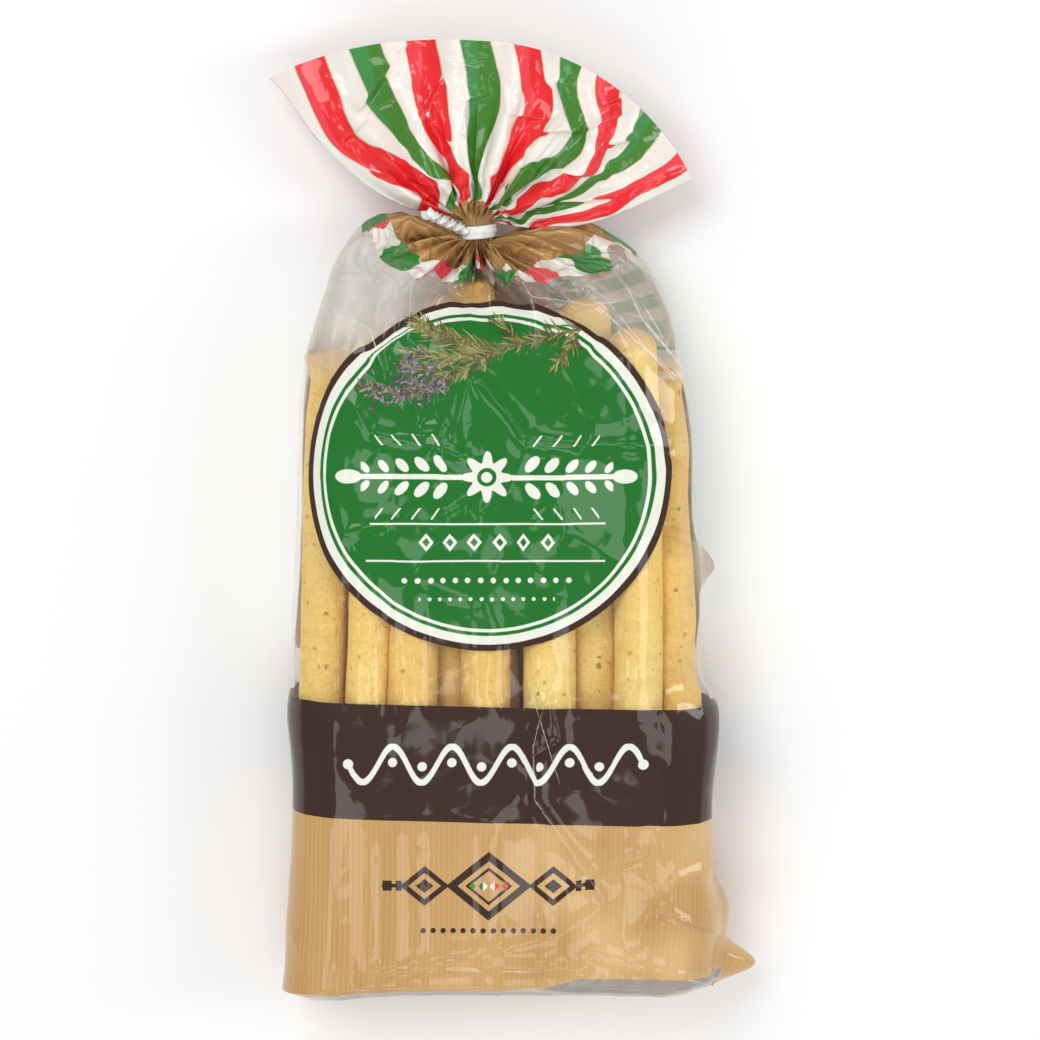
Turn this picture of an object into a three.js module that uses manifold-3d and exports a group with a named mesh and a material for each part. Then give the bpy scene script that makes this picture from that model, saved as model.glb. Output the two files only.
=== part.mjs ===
// A tied pack of breadsticks: a clear printed film bag with a gathered neck and a fan-shaped head, closed
// by a twist tie, and lying on its back. Lengths are millimetres. +Z is up, +Y runs from the base to the
// head, and the origin is the middle of the pack's footprint, on the surface that it rests on.
import * as THREE from "three";
import { mergeVertices } from "three/addons/utils/BufferGeometryUtils.js";
import Module from "manifold-3d";

const wasm = await Module();
wasm.setup();

// ---- driving dimensions -------------------------------------------------------------------------------

const BASE_Y = -134.6; // the block bottom, at the pack's lower end
const BASE_EDGE = 2.6; // the length over which the base turns into the walls
const BASE_DRAW = 0.1; // the share by which it draws in on the way
const CORNER_REACH = 3.6; // how far its four corners stand out past the middle
const CORNER_FADE = 16; // and how far up the walls that is felt
const WIDEST = 66; // half the width of the base
const SHOULDER_Y = 50; // where the straight body ends and the film begins to close
const THROAT_Y = 81; // where the gathered film enters the tie
const HEAD_Y = 87; // where it comes out again and spreads
const NECK_X = -9.6; // the neck stands a little left of the middle
const NECK_Z = 20; // and about half way up the pack
const NECK_RADIUS = 4.3;

const BODY_TOP = 41; // the top of the body at its sides
const BODY_CROWN = 2.2; // the rise from there to the middle
const BODY_CORNER = 15; // the radius of its long corners
const REST_SHARE = 1.06; // how far the back is pressed flat, as a share of its own roundness

// The breadsticks under the front, from left to right: middle and radius. The film sinks between them.
const FRONT_STICKS = [
  [-55.1, 7.0],
  [-42.1, 6.3],
  [-28.3, 7.6],
  [-6.8, 7.4],
  [11.6, 7.8],
  [37.0, 7.4],
  [50.2, 6.4],
];
const FILM_SAG = 1.4; // the deepest that the film sinks between two sticks
const PRINTED_SAG = 0.45; // the share of that which is left in the printed part, lower down
const PRINT_TOP = [-80, -45]; // where the one changes into the other
const TOP_SHARE = 0.75; // the front's own shape fades out below this share of the half height

// The outline seen from above, from the base to the shoulder: place along the pack, left edge, right edge.
const OUTLINE = [
  [BASE_Y, -67.6, 58.9],
  [-122, -66.0, 58.8],
  [-86, -64.4, 58.2],
  [-51, -63.8, 57.9],
  [-47.5, -63.6, 55.6],
  [-25, -62.6, 55.0],
  [0, -61.4, 53.2],
  [30, -60.4, 51.8],
  [SHOULDER_Y, -58.7, 48.6],
];
// Loose film that stands out from the right wall: the open corner of the base, the fold above it, and a
// slack fold half way up. Each is felt only from LOOSE_FROM of the half width outwards.
const BASE_EAR = { y: -129.5, reach: 13.5, below: 7, above: 4, z: 13, spread: 7.5 };
const BASE_FOLD = { y: -117, reach: 6.5, below: 10, above: 9, z: 16, spread: 9 };
const SIDE_FOLD = { y: -14, reach: 6, below: 5, above: 6, z: 14, spread: 8 };
const LOOSE_FROM = 0.6;

// The shoulder's two ears: where the film's edge is pulled on its way from the body (first) to the throat
// (last).
const LEFT_EAR = { first: [5, 25], last: [-27, 20] };
const RIGHT_EAR = { first: [-4, 19], last: [40, 13] };
const MIDDLE_PULL = { first: [0, 14], last: [0, -12] };
const EAR_SHARPNESS = 2.6;
const SHOULDER_DROP = 1.25; // above 1 the shoulder stays full before it falls to the throat

// The head is a fan about a centre near the neck. Angles are degrees anticlockwise from +X, lengths are radii.
const FAN_CENTRE = [NECK_X, 82.4];
const FAN_TOP = 85; // the direction of its shortest ray
const FAN_RIGHT = 14.5;
const FAN_LEFT = 143;
const FAN_RADIUS = 55.6;
const RIGHT_TIP = 8.5; // what its right and left corners reach beyond that radius
const LEFT_TIP = 20;
const FLARE = 0.82; // the share of each ray at which it has turned to its last direction
const BEND_RIGHT = -14; // the directions in which the outermost rays leave the tie
const BEND_LEFT = 173;
const BEND_RADIUS = 20; // how far they go before they turn
const BEND_RIGHT_MORE = 14;
const BEND_LEFT_MORE = 25;
const HEAD_RISE = 9; // the fan lifts by this much from the neck to its mouth
const TIP_DROOP = 13; // and its corners hang by this much
const MOUTH_GAP = 3.2; // half the opening between its two layers

// Gathers: [how many across one layer, share, phase in turns].
const HEAD_PLEATS = [
  [6.5, 0.55, 0.1],
  [3.3, 0.35, 0.55],
  [10.4, 0.3, 0.3],
];
const HEAD_PLEAT_DEPTH = 2.6;
const THROAT_PLEATS = [
  [8.2, 0.6, 0.15],
  [5.1, 0.4, 0.7],
];
const THROAT_PLEAT_DEPTH = 2.4;
const PLEAT_POWER = 0.8; // below 1 the folds are sharper than a wave's
const MOUTH_FLATTENING = 0.6; // the share of that depth lost on the way to the mouth

const TIE_GAP = 0.3; // clear of the film all round
const TIE_WIDTH = 3.6;
const TIE_THICKNESS = 0.9;
const TIE_BEVEL = 0.3;
const TAIL_LENGTH = 10; // the twisted ends
const TAIL_WIDTH = 3.1;
const TAIL_THICKNESS = 1.2;
const TAIL_TURNS = 1.5;
const TAIL_START = [NECK_X - 3.6, 84.2, NECK_Z + 4.4];
const TAIL_END = [NECK_X - 13.6, 88.4, NECK_Z + 9.0];

// How finely the film is cut.
const ACROSS = 48; // steps across each layer
const BODY_STEPS = 18;
const BODY_CROWDING = 1.3; // above 1 its steps are closer together near the base
const SHOULDER_STEPS = 12;
const NECK_STEPS = 2;
const HEAD_STEPS = 15;
const BASE_STEPS = 3;

// ---- helpers ------------------------------------------------------------------------------------------

const { PI, abs, cos, exp, max, min, sin, sqrt } = Math;
const TURN = 2 * PI;
const radians = THREE.MathUtils.degToRad;
const mix = THREE.MathUtils.lerp;
const smooth = (x, low, high) => THREE.MathUtils.smoothstep(x, low, high);

// A hump of unit height at y = 0 that is wider on one side than on the other.
const hump = (y, below, above) => exp(-((y / (y < 0 ? below : above)) ** 2));

// A smooth curve through [y, ...values] rows, read at y: a cubic between rows with the mean slope at each row.
function along(rows, y, column) {
  const last = rows.length - 1;
  let i = rows.findIndex((row) => y <= row[0]);
  i = i < 0 ? last : max(i, 1);
  const [a, b] = [rows[i - 1], rows[i]];
  const slope = (from, to) => (to[column] - from[column]) / (to[0] - from[0]);
  const here = slope(a, b);
  const before = i > 1 ? (slope(rows[i - 2], a) + here) / 2 : here;
  const after = i < last ? (slope(b, rows[i + 1]) + here) / 2 : here;
  const span = b[0] - a[0];
  const t = (y - a[0]) / span;
  const [t2, t3] = [t * t, t * t * t];
  return (
    a[column] * (2 * t3 - 3 * t2 + 1) +
    b[column] * (3 * t2 - 2 * t3) +
    before * span * (t3 - 2 * t2 + t) +
    after * span * (t3 - t2)
  );
}

// A cubic Bezier curve's coordinate at t.
function bezier(t, p0, p1, p2, p3) {
  const u = 1 - t;
  return u * u * u * p0 + 3 * u * u * t * p1 + 3 * u * t * t * p2 + t * t * t * p3;
}

// A mix of waves across a layer, from -1 to 1.
function pleats(waves, a) {
  let sum = 0;
  for (const [count, share, phase] of waves) sum += share * sin(TURN * (count * a + phase));
  return Math.sign(sum) * abs(sum) ** PLEAT_POWER;
}

// ---- the film's surface -------------------------------------------------------------------------------
// Every point of the bag is named by how far it is along the pack and by a, its place across one of two layers:
// 0 at the right edge, 1 at the left. side is +1 for the front layer and -1 for the back.

// Half of a rounded rectangle of half-width w and half-height h, walked from its right edge over the top to its
// left edge at an even pace. Returns the place across and the height, from 0 to h.
function arch(w, h, corner, a) {
  const r = min(corner, w, h);
  const [wall, bend, top] = [h - r, (PI * r) / 2, 2 * (w - r)];
  const whole = 2 * (wall + bend) + top;
  const mirrored = a > 0.5;
  const way = (mirrored ? 1 - a : a) * whole;
  let x;
  let z;
  if (way < wall) {
    [x, z] = [w, way];
  } else if (way < wall + bend) {
    const turn = (way - wall) / r;
    [x, z] = [w - r + r * cos(turn), h - r + r * sin(turn)];
  } else {
    [x, z] = [w - r - (way - wall - bend), h];
  }
  return [mirrored ? -x : x, z];
}

// How far the front film sinks between the breadsticks at this place across the pack.
function sag(x) {
  const rise = FRONT_STICKS.map(([middle, radius]) => {
    const offset = abs(x - middle) / radius;
    return radius * (sqrt(max(0, 1 - offset * offset)) - 1);
  });
  return max(-FILM_SAG, ...rise);
}

// The clear film lies closer over the sticks than the printed film below it.
const slack = (y) => mix(PRINTED_SAG, 1, smooth(y, ...PRINT_TOP));

function bodyPoint(y, side, a) {
  const left = along(OUTLINE, y, 1);
  const right = along(OUTLINE, y, 2);
  const [w, middle, h] = [(right - left) / 2, (right + left) / 2, BODY_TOP / 2];
  let [x, up] = arch(w, h, BODY_CORNER, a);
  x += middle;
  const across = (x - middle) / w;
  const full = smooth(up / h, TOP_SHARE, 1);
  let z;
  if (side > 0) {
    z = h + up + full * (BODY_CROWN * (1 - across * across) + slack(y) * sag(x));
  } else {
    z = h - min(h, REST_SHARE * up);
  }
  for (const loose of [BASE_EAR, BASE_FOLD, SIDE_FOLD]) {
    const near = hump(y - loose.y, loose.below, loose.above) * exp(-(((z - loose.z) / loose.spread) ** 2));
    x += loose.reach * near * smooth(across, LOOSE_FROM, 1);
  }
  return [x, y, z];
}

// The throat and the start of the head are both this ring of gathered film.
function neckPoint(y, side, a) {
  const angle = PI * a;
  return [NECK_X + NECK_RADIUS * cos(angle), y, NECK_Z + side * NECK_RADIUS * sin(angle)];
}

// t runs from 0 at the shoulder to 1 at the throat.
function shoulderPoint(t, side, a) {
  const [x0, y0, z0] = bodyPoint(SHOULDER_Y, side, a);
  const [x3, y3, z3] = neckPoint(THROAT_Y, side, a);
  const [left, right] = [along(OUTLINE, y0, 1), along(OUTLINE, y0, 2)];
  const across = (2 * x0 - left - right) / (right - left);
  const edge = min(1, abs(across)) ** EAR_SHARPNESS;
  const ear = across < 0 ? LEFT_EAR : RIGHT_EAR;
  const pull = (end, axis) => mix(MIDDLE_PULL[end][axis], ear[end][axis], edge);
  const [x1, y1] = [x0 + pull("first", 0), y0 + pull("first", 1)];
  const [x2, y2] = [x3 + pull("last", 0), y3 + pull("last", 1)];
  const fall = 1 - t ** SHOULDER_DROP;
  const crease = THROAT_PLEAT_DEPTH * t * t * smooth(1 - t, 0, 0.25) * sin(PI * a);
  const z = mix(z3, z0, fall) + crease * pleats(THROAT_PLEATS, side > 0 ? a : 1 - a);
  return [bezier(t, x0, x1, x2, x3), bezier(t, y0, y1, y2, y3), max(z, 0)];
}

// A quantity that grows with the square of the angle from the fan's shortest ray, towards either corner.
function towardsCorners(angle, atRight, atLeft, right, left) {
  const away = angle - FAN_TOP;
  return away < 0 ? atRight * (away / (right - FAN_TOP)) ** 2 : atLeft * (away / (left - FAN_TOP)) ** 2;
}

// t runs from 0 at the tie to 1 at the mouth.
function headPoint(t, side, a) {
  const [x0, y0, z0] = neckPoint(HEAD_Y, side, a);
  const end = mix(FAN_RIGHT, FAN_LEFT, a);
  const reach = FAN_RADIUS + towardsCorners(end, RIGHT_TIP, LEFT_TIP, FAN_RIGHT, FAN_LEFT);
  const bend = mix(BEND_RIGHT, BEND_LEFT, a);
  const lean = BEND_RADIUS + towardsCorners(bend, BEND_RIGHT_MORE, BEND_LEFT_MORE, BEND_RIGHT, BEND_LEFT);
  const [x1, y1] = [NECK_X + lean * cos(radians(bend)), HEAD_Y + lean * sin(radians(bend))];
  const ray = (share) => [
    FAN_CENTRE[0] + reach * share * cos(radians(end)),
    FAN_CENTRE[1] + reach * share * sin(radians(end)),
  ];
  const [x2, y2] = ray(FLARE);
  const [x3, y3] = ray(1);
  const off = 2 * a - 1;
  const middle = NECK_Z + t * (HEAD_RISE - TIP_DROOP * off * off * t);
  const gap = side * mix(abs(z0 - NECK_Z), MOUTH_GAP * sqrt(max(0, sin(PI * a))), smooth(t, 0, 0.5));
  const depth = HEAD_PLEAT_DEPTH * smooth(t, 0, 0.2) * (1 - MOUTH_FLATTENING * t);
  return [bezier(t, x0, x1, x2, x3), bezier(t, y0, y1, y2, y3), middle + gap + depth * pleats(HEAD_PLEATS, a)];
}

// How far the base's edge stands out here, from nothing in the middle to the most at its corners.
const cornerReach = (x) => CORNER_REACH * (x / WIDEST) ** 4;

// The base is the body's first section, drawn in over a rounded edge.
// t runs from 0 on the flat end to 1 on the walls.
function basePoint(t, side, a) {
  const [x, , z] = bodyPoint(BASE_Y, side, a);
  const h = BODY_TOP / 2;
  const drawn = 1 - (1 - sin((t * PI) / 2)) * BASE_DRAW;
  return [x * drawn, BASE_Y - cornerReach(x) - BASE_EDGE * (1 - t) * (1 - t), h + (z - h) * drawn];
}

// ---- the bag ------------------------------------------------------------------------------------------

// The steps from 0 towards 1, without the last.
const fractions = (count) => Array.from({ length: count }, (_, i) => i / count);

// One ring of points for each step along the pack, each ring a function of side and a.
function filmRings() {
  const rings = [];
  for (const t of fractions(BASE_STEPS)) rings.push((side, a) => basePoint(t, side, a));
  for (const t of fractions(BODY_STEPS)) {
    const y = mix(BASE_Y, SHOULDER_Y, t ** BODY_CROWDING);
    rings.push((side, a) => {
      const point = bodyPoint(y, side, a);
      point[1] -= cornerReach(point[0]) * hump(y - BASE_Y, CORNER_FADE, CORNER_FADE);
      return point;
    });
  }
  for (const t of fractions(SHOULDER_STEPS)) rings.push((side, a) => shoulderPoint(t, side, a));
  for (const t of fractions(NECK_STEPS)) rings.push((side, a) => neckPoint(mix(THROAT_Y, HEAD_Y, t), side, a));
  for (const t of fractions(HEAD_STEPS)) rings.push((side, a) => headPoint(t, side, a));
  rings.push((side, a) => headPoint(1, side, a));
  return rings;
}

// Each ring goes over the front from right to left and back underneath; both ends are closed layer to layer.
function bagGeometry() {
  const rings = filmRings();
  const around = 2 * ACROSS;
  const positions = [];
  for (const ring of rings) {
    for (let i = 0; i < around; i++) {
      const front = i <= ACROSS;
      positions.push(...ring(front ? 1 : -1, front ? i / ACROSS : (around - i) / ACROSS));
    }
  }
  const faces = [];
  const quad = (p, q, r, s) => faces.push(p, q, r, p, r, s);
  for (let k = 0; k + 1 < rings.length; k++) {
    for (let i = 0; i < around; i++) {
      const next = (i + 1) % around;
      quad(k * around + i, (k + 1) * around + i, (k + 1) * around + next, k * around + next);
    }
  }
  const closeEnd = (first, facingHead) => {
    for (let i = 0; i < ACROSS; i++) {
      const [p, q] = [first + i, first + i + 1];
      const [r, s] = [first + ((around - i - 1) % around), first + ((around - i) % around)];
      const corners = facingHead ? [p, s, r, q] : [p, q, r, s];
      const distinct = corners.filter((corner, n) => corner !== corners[(n + 1) % corners.length]);
      faces.push(distinct[0], distinct[1], distinct[2]);
      if (distinct.length === 4) faces.push(distinct[0], distinct[2], distinct[3]);
    }
  };
  closeEnd(0, false);
  closeEnd((rings.length - 1) * around, true);
  const geometry = new THREE.BufferGeometry();
  geometry.setAttribute("position", new THREE.Float32BufferAttribute(positions, 3));
  geometry.setIndex(faces);
  return geometry;
}

// ---- the twist tie ------------------------------------------------------------------------------------

function toSolid(geometry) {
  const bare = geometry.clone();
  for (const name of ["normal", "uv"]) bare.deleteAttribute(name);
  const merged = mergeVertices(bare, 1e-3);
  return new wasm.Manifold(
    new wasm.Mesh({
      numProp: 3,
      vertProperties: merged.attributes.position.array,
      triVerts: new Uint32Array(merged.index.array),
    }),
  );
}

function toGeometry(solid) {
  const mesh = solid.getMesh();
  const geometry = new THREE.BufferGeometry();
  geometry.setAttribute("position", new THREE.BufferAttribute(Float32Array.from(mesh.vertProperties), 3));
  geometry.setIndex(new THREE.BufferAttribute(Uint32Array.from(mesh.triVerts), 1));
  return geometry;
}

// The loop round the neck: a flat band with bevelled edges, turned about the neck's axis.
function tieLoop() {
  const inner = NECK_RADIUS + TIE_GAP;
  const outer = inner + TIE_THICKNESS;
  const half = TIE_WIDTH / 2;
  const profile = [
    [inner, -half],
    [outer - TIE_BEVEL, -half],
    [outer, TIE_BEVEL - half],
    [outer, half - TIE_BEVEL],
    [outer - TIE_BEVEL, half],
    [inner, half],
    [inner, -half],
  ].map(([x, y]) => new THREE.Vector2(x, y));
  const loop = new THREE.LatheGeometry(profile, 40);
  loop.translate(NECK_X, (THROAT_Y + HEAD_Y) / 2, NECK_Z);
  return loop;
}

// The two ends twisted together: a flat bar turned about its own length.
function tieTail() {
  const [start, end] = [TAIL_START, TAIL_END].map((p) => new THREE.Vector3(...p));
  const bar = new THREE.BoxGeometry(TAIL_WIDTH, TAIL_THICKNESS, TAIL_LENGTH, 3, 2, 24);
  const place = bar.attributes.position;
  const point = new THREE.Vector3();
  const lengthways = new THREE.Vector3(0, 0, 1);
  const lay = new THREE.Quaternion().setFromUnitVectors(lengthways, end.clone().sub(start).normalize());
  for (let i = 0; i < place.count; i++) {
    point.fromBufferAttribute(place, i);
    const way = point.z / TAIL_LENGTH + 0.5;
    point.z = 0;
    point.applyAxisAngle(lengthways, TURN * TAIL_TURNS * way).applyQuaternion(lay);
    point.add(start.clone().lerp(end, way));
    place.setXYZ(i, point.x, point.y, point.z);
  }
  return bar;
}

function tieGeometry() {
  return toGeometry(toSolid(tieLoop()).add(toSolid(tieTail())));
}

// ---- the pack -----------------------------------------------------------------------------------------

const film = new THREE.MeshStandardMaterial({ color: 0xd9b476, roughness: 0.3, metalness: 0 });
const coatedWire = new THREE.MeshStandardMaterial({ color: 0xf2f2ee, roughness: 0.45, metalness: 0 });

function part(name, geometry, material) {
  const mesh = new THREE.Mesh(geometry, material);
  mesh.name = name;
  return mesh;
}

const pack = new THREE.Group();
pack.add(part("bag", bagGeometry(), film));
pack.add(part("tie", tieGeometry(), coatedWire));

// The frame's origin is the middle of the footprint.
const extent = new THREE.Box3().setFromObject(pack);
const middle = extent.getCenter(new THREE.Vector3());
pack.children.forEach((piece) => piece.geometry.translate(-middle.x, -middle.y, -extent.min.z));

export default pack;
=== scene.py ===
# %% [markdown]
# # A tied bag of breadsticks
#
# The object is a clear film bag with some two dozen breadsticks in it. Parts of the film are printed: a
# brown band, a kraft-coloured foot, a round green label and a striped head. The neck is gathered and held by
# a twist tie, and the pack lies on its back.
#
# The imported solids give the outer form. Here the one solid that stands for film, air and bread is replaced by
# what is really there: a thin sheet with its folds, and the breadsticks behind it.

# %% Load the frame
import math

import bpy
import numpy as np
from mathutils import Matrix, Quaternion, Vector


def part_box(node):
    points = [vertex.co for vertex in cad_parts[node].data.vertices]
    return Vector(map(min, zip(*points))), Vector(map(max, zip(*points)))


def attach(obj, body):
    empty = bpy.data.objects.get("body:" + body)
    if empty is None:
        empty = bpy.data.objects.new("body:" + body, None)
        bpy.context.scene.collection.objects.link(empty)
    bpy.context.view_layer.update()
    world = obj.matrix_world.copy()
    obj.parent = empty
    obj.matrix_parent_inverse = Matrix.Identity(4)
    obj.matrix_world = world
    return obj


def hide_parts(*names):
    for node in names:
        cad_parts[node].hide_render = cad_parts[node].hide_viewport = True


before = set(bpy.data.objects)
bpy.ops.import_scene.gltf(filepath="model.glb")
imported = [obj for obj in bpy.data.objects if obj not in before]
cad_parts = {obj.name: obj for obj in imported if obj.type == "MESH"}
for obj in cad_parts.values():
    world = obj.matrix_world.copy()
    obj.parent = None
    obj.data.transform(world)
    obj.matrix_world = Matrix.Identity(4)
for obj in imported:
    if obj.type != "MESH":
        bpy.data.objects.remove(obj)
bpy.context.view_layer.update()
bag_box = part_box("bag")

# %% [markdown]
# ## Camera, floor and light
#
# A product picture is taken with a long lens from some way off, so that the pack keeps its proportions. The
# camera looks down on the lying pack, leaning a little towards the head, and a thin film shows its folds only
# where they mirror something bright. So the light is a wide soft sky for the bread and the print, and a few
# soft boxes whose reflections break up on the creases.

# %% Camera
PICTURE = 1040  # pixels each way
MM_PER_PIXEL = 0.2925  # at the aim point
CAMERA_DISTANCE = 0.9
CAMERA_TILT = math.radians(7)
AIM = Vector((0.00099, 0.00121, 0.020))
SENSOR_MM = 36

camera_data = bpy.data.cameras.new("camera")
camera_data.sensor_width = SENSOR_MM
camera_data.lens = SENSOR_MM * CAMERA_DISTANCE / (PICTURE * MM_PER_PIXEL / 1000)
camera = bpy.data.objects.new("camera", camera_data)
back_from_aim = Vector((0, math.sin(CAMERA_TILT), math.cos(CAMERA_TILT)))
camera.location = AIM + CAMERA_DISTANCE * back_from_aim
camera.rotation_euler = (-CAMERA_TILT, 0, 0)
bpy.context.collection.objects.link(camera)
bpy.context.scene.camera = camera
bpy.context.scene.view_settings.view_transform = "Standard"
print("lens", round(camera_data.lens, 1), "mm")

# %% Soft boxes and sky


def soft_box(name, place, size, power, turned=0):
    """A rectangular light that faces the pack, turned about its own axis by so many degrees."""
    data = bpy.data.lights.new(name, "AREA")
    data.shape = "RECTANGLE"
    data.size, data.size_y = size
    data.energy = power
    light = bpy.data.objects.new(name, data)
    light.location = place
    light.rotation_mode = "QUATERNION"
    facing = (Vector(place) - Vector((0, 0, 0.02))).to_track_quat("Z", "Y")
    light.rotation_quaternion = facing @ Quaternion((0, 0, 1), math.radians(turned))
    bpy.context.collection.objects.link(light)


SKY_STRENGTH = 0.46
PANEL_HEIGHT, PANEL_POWER = 1.25, 8.2  # metres, and watts for each square metre
PANELS = (  # place across and along, width, length, and how far it is turned
    (-0.42, -0.42, 0.34, 0.26, 25), (-0.20, 0.02, 0.20, 0.16, -35), (0.05, -0.40, 0.12, 0.34, 40),
    (0.34, -0.16, 0.26, 0.40, -20), (0.16, 0.22, 0.16, 0.22, 30), (0.02, -0.75, 0.34, 0.20, 10))

soft_box("key", (-0.45, 0.5, 1.0), (0.7, 0.5), 5.2)
soft_box("side", (0.95, 0.1, 0.55), (0.2, 0.9), 3.2)
soft_box("foot", (-0.2, -1.0, 0.6), (0.9, 0.2), 2.4)
for number, (across, up, width, length, turned) in enumerate(PANELS):
    power = PANEL_POWER * width * length
    soft_box(f"panel_{number}", (across, up, PANEL_HEIGHT), (width, length), power, turned)

sky = bpy.data.worlds.new("sky")
sky.use_nodes = True
sky.node_tree.nodes["Background"].inputs["Color"].default_value = (1, 1, 1, 1)
sky.node_tree.nodes["Background"].inputs["Strength"].default_value = SKY_STRENGTH
bpy.context.scene.world = sky
print(3 + len(PANELS), "soft boxes")

# %% [markdown]
# ## Meshes from grids of points
#
# The film and the breadsticks are both tubes: rings of points, one after another. NumPy works out all the
# points at once, which is much faster than adding them one by one, and the quads between neighbours follow
# from the grid. A texture coordinate is kept for each corner of each quad, so that the print can have a seam
# where the tube closes on itself.

# %% Mesh helpers


def tube_corners(rings, around):
    """For each quad of a tube, the ring and the column of its four corners; columns run on to the seam."""
    ring, column = np.meshgrid(np.arange(rings - 1), np.arange(around), indexing="ij")
    ring, column = ring.ravel(), column.ravel()
    rings_of = np.stack([ring, ring, ring + 1, ring + 1], axis=1)
    columns_of = np.stack([column, column + 1, column + 1, column], axis=1)
    return rings_of, columns_of


def make_object(name, points, faces):
    """An object in metres from points in millimetres."""
    mesh = bpy.data.meshes.new(name)
    mesh.from_pydata((np.asarray(points) * 0.001).tolist(), [], [list(map(int, face)) for face in faces])
    mesh.polygons.foreach_set("use_smooth", np.ones(len(mesh.polygons), bool))
    mesh.update()
    made = bpy.data.objects.new(name, mesh)
    bpy.context.collection.objects.link(made)
    return made


def joined_tubes(grids, capped=False):
    """The points and faces of several tubes as one mesh; each is a grid of rings, its ends open or capped."""
    points, faces, base = [], [], 0
    for grid in grids:
        rings, around = grid.shape[:2]
        ring_of, column_of = tube_corners(rings, around)
        faces += (base + ring_of * around + column_of % around).tolist()
        if capped:
            faces.append([base + k for k in reversed(range(around))])
            faces.append([base + (rings - 1) * around + k for k in range(around)])
        points.append(grid.reshape(-1, 3))
        base += rings * around
    return np.concatenate(points), faces


def strip_faces(steps, base):
    """The quads of a flat strip whose points come in pairs, left and right, step by step."""
    return [[base + 2 * k + 1, base + 2 * k + 3, base + 2 * k + 2, base + 2 * k] for k in range(steps - 1)]


def say_size(made):
    """Print how many triangles a piece has."""
    print(made.name, sum(len(face.vertices) - 2 for face in made.data.polygons), "triangles")


def add_map(made, name, corner_values):
    """A texture map from one pair of numbers for each corner of each face."""
    layer = made.data.uv_layers.new(name=name)
    layer.data.foreach_set("uv", np.asarray(corner_values, np.float32).ravel())


def add_number(made, name, values):
    """A number for each point, which a material reads by name."""
    layer = made.data.attributes.new(name, "FLOAT", "POINT")
    layer.data.foreach_set("value", np.asarray(values, np.float32))


# %% Floor
FLOOR_HALF = 3000
floor_corners = [(x * FLOOR_HALF, y * FLOOR_HALF, 0) for x, y in ((-1, -1), (1, -1), (1, 1), (-1, 1))]
floor = make_object("floor", floor_corners, [(0, 1, 2, 3)])

# %% [markdown]
# ## The form of the bag
#
# The real bag is a tube of flat film, near 300 mm round. Its foot is folded into a block, the bread fills it
# out, and above the bread all of its width is drawn through the tie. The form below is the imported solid's
# own, from the same named sizes. Every point of the film is named by *turn*, its place round the tube: 0 in
# the middle of the front, +0.5 and -0.5 at the right and left edges, and +1 or -1 at the back seam.

# %% Sizes of the body
BASE_Y, SHOULDER_Y, THROAT_Y, HEAD_Y = -134.6, 50, 81, 87
BASE_EDGE, BASE_DRAW = 2.6, 0.1
CORNER_REACH, CORNER_FADE, WIDEST = 3.6, 16, 66
NECK_X, NECK_Z, NECK_RADIUS = -9.6, 20, 4.3
BODY_TOP, BODY_CROWN, BODY_CORNER, REST_SHARE = 41, 2.2, 15, 1.06
FRONT_STICKS = ((-55.1, 7.0), (-42.1, 6.3), (-28.3, 7.6), (-6.8, 7.4), (11.6, 7.8), (37.0, 7.4), (50.2, 6.4))
FILM_SAG, PRINTED_SAG, PRINT_TOP, TOP_SHARE = 1.4, 0.45, (-80, -45), 0.75
OUTLINE = np.array((
    (BASE_Y, -67.6, 58.9), (-122, -66.0, 58.8), (-86, -64.4, 58.2), (-51, -63.8, 57.9), (-47.5, -63.6, 55.6),
    (-25, -62.6, 55.0), (0, -61.4, 53.2), (30, -60.4, 51.8), (SHOULDER_Y, -58.7, 48.6)))
LOOSE_FILM = (  # place along the pack, reach, length below and above, height, spread
    (-129.5, 13.5, 7, 4, 13, 7.5), (-117, 6.5, 10, 9, 16, 9), (-14, 6, 5, 6, 14, 8))
LOOSE_FROM = 0.6

# %% Helpers for the form


def mix(a, b, t):
    return a + (b - a) * t


def smooth(x, low, high):
    t = np.clip((x - low) / (high - low), 0, 1)
    return t * t * (3 - 2 * t)


def hump(y, below, above):
    return np.exp(-((y / np.where(y < 0, below, above)) ** 2))


def bezier(t, p0, p1, p2, p3):
    u = 1 - t
    return u * u * u * p0 + 3 * u * u * t * p1 + 3 * u * t * t * p2 + t * t * t * p3


def along(y, column):
    """The outline's edge at y: a cubic between its rows, with the mean slope at each row."""
    rows, values = OUTLINE[:, 0], OUTLINE[:, column]
    slopes = np.diff(values) / np.diff(rows)
    knots = np.concatenate([slopes[:1], (slopes[1:] + slopes[:-1]) / 2, slopes[-1:]])
    i = np.clip(np.searchsorted(rows, y), 1, len(rows) - 1)
    span = rows[i] - rows[i - 1]
    t = (y - rows[i - 1]) / span
    before, after = knots[i - 1] * span, knots[i] * span
    return ((2 * t**3 - 3 * t**2 + 1) * values[i - 1] + (3 * t**2 - 2 * t**3) * values[i]
            + (t**3 - 2 * t**2 + t) * before + (t**3 - t**2) * after)


def layer_of(turn):
    """Which layer a turn lies on, +1 front or -1 back, and its place across: 0 right edge, 1 left edge."""
    side = np.where(np.abs(turn) <= 0.5, 1, -1)
    return side, np.where(side > 0, 0.5 - turn, 0.5 - (np.sign(turn) - turn))


# %% The body


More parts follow.
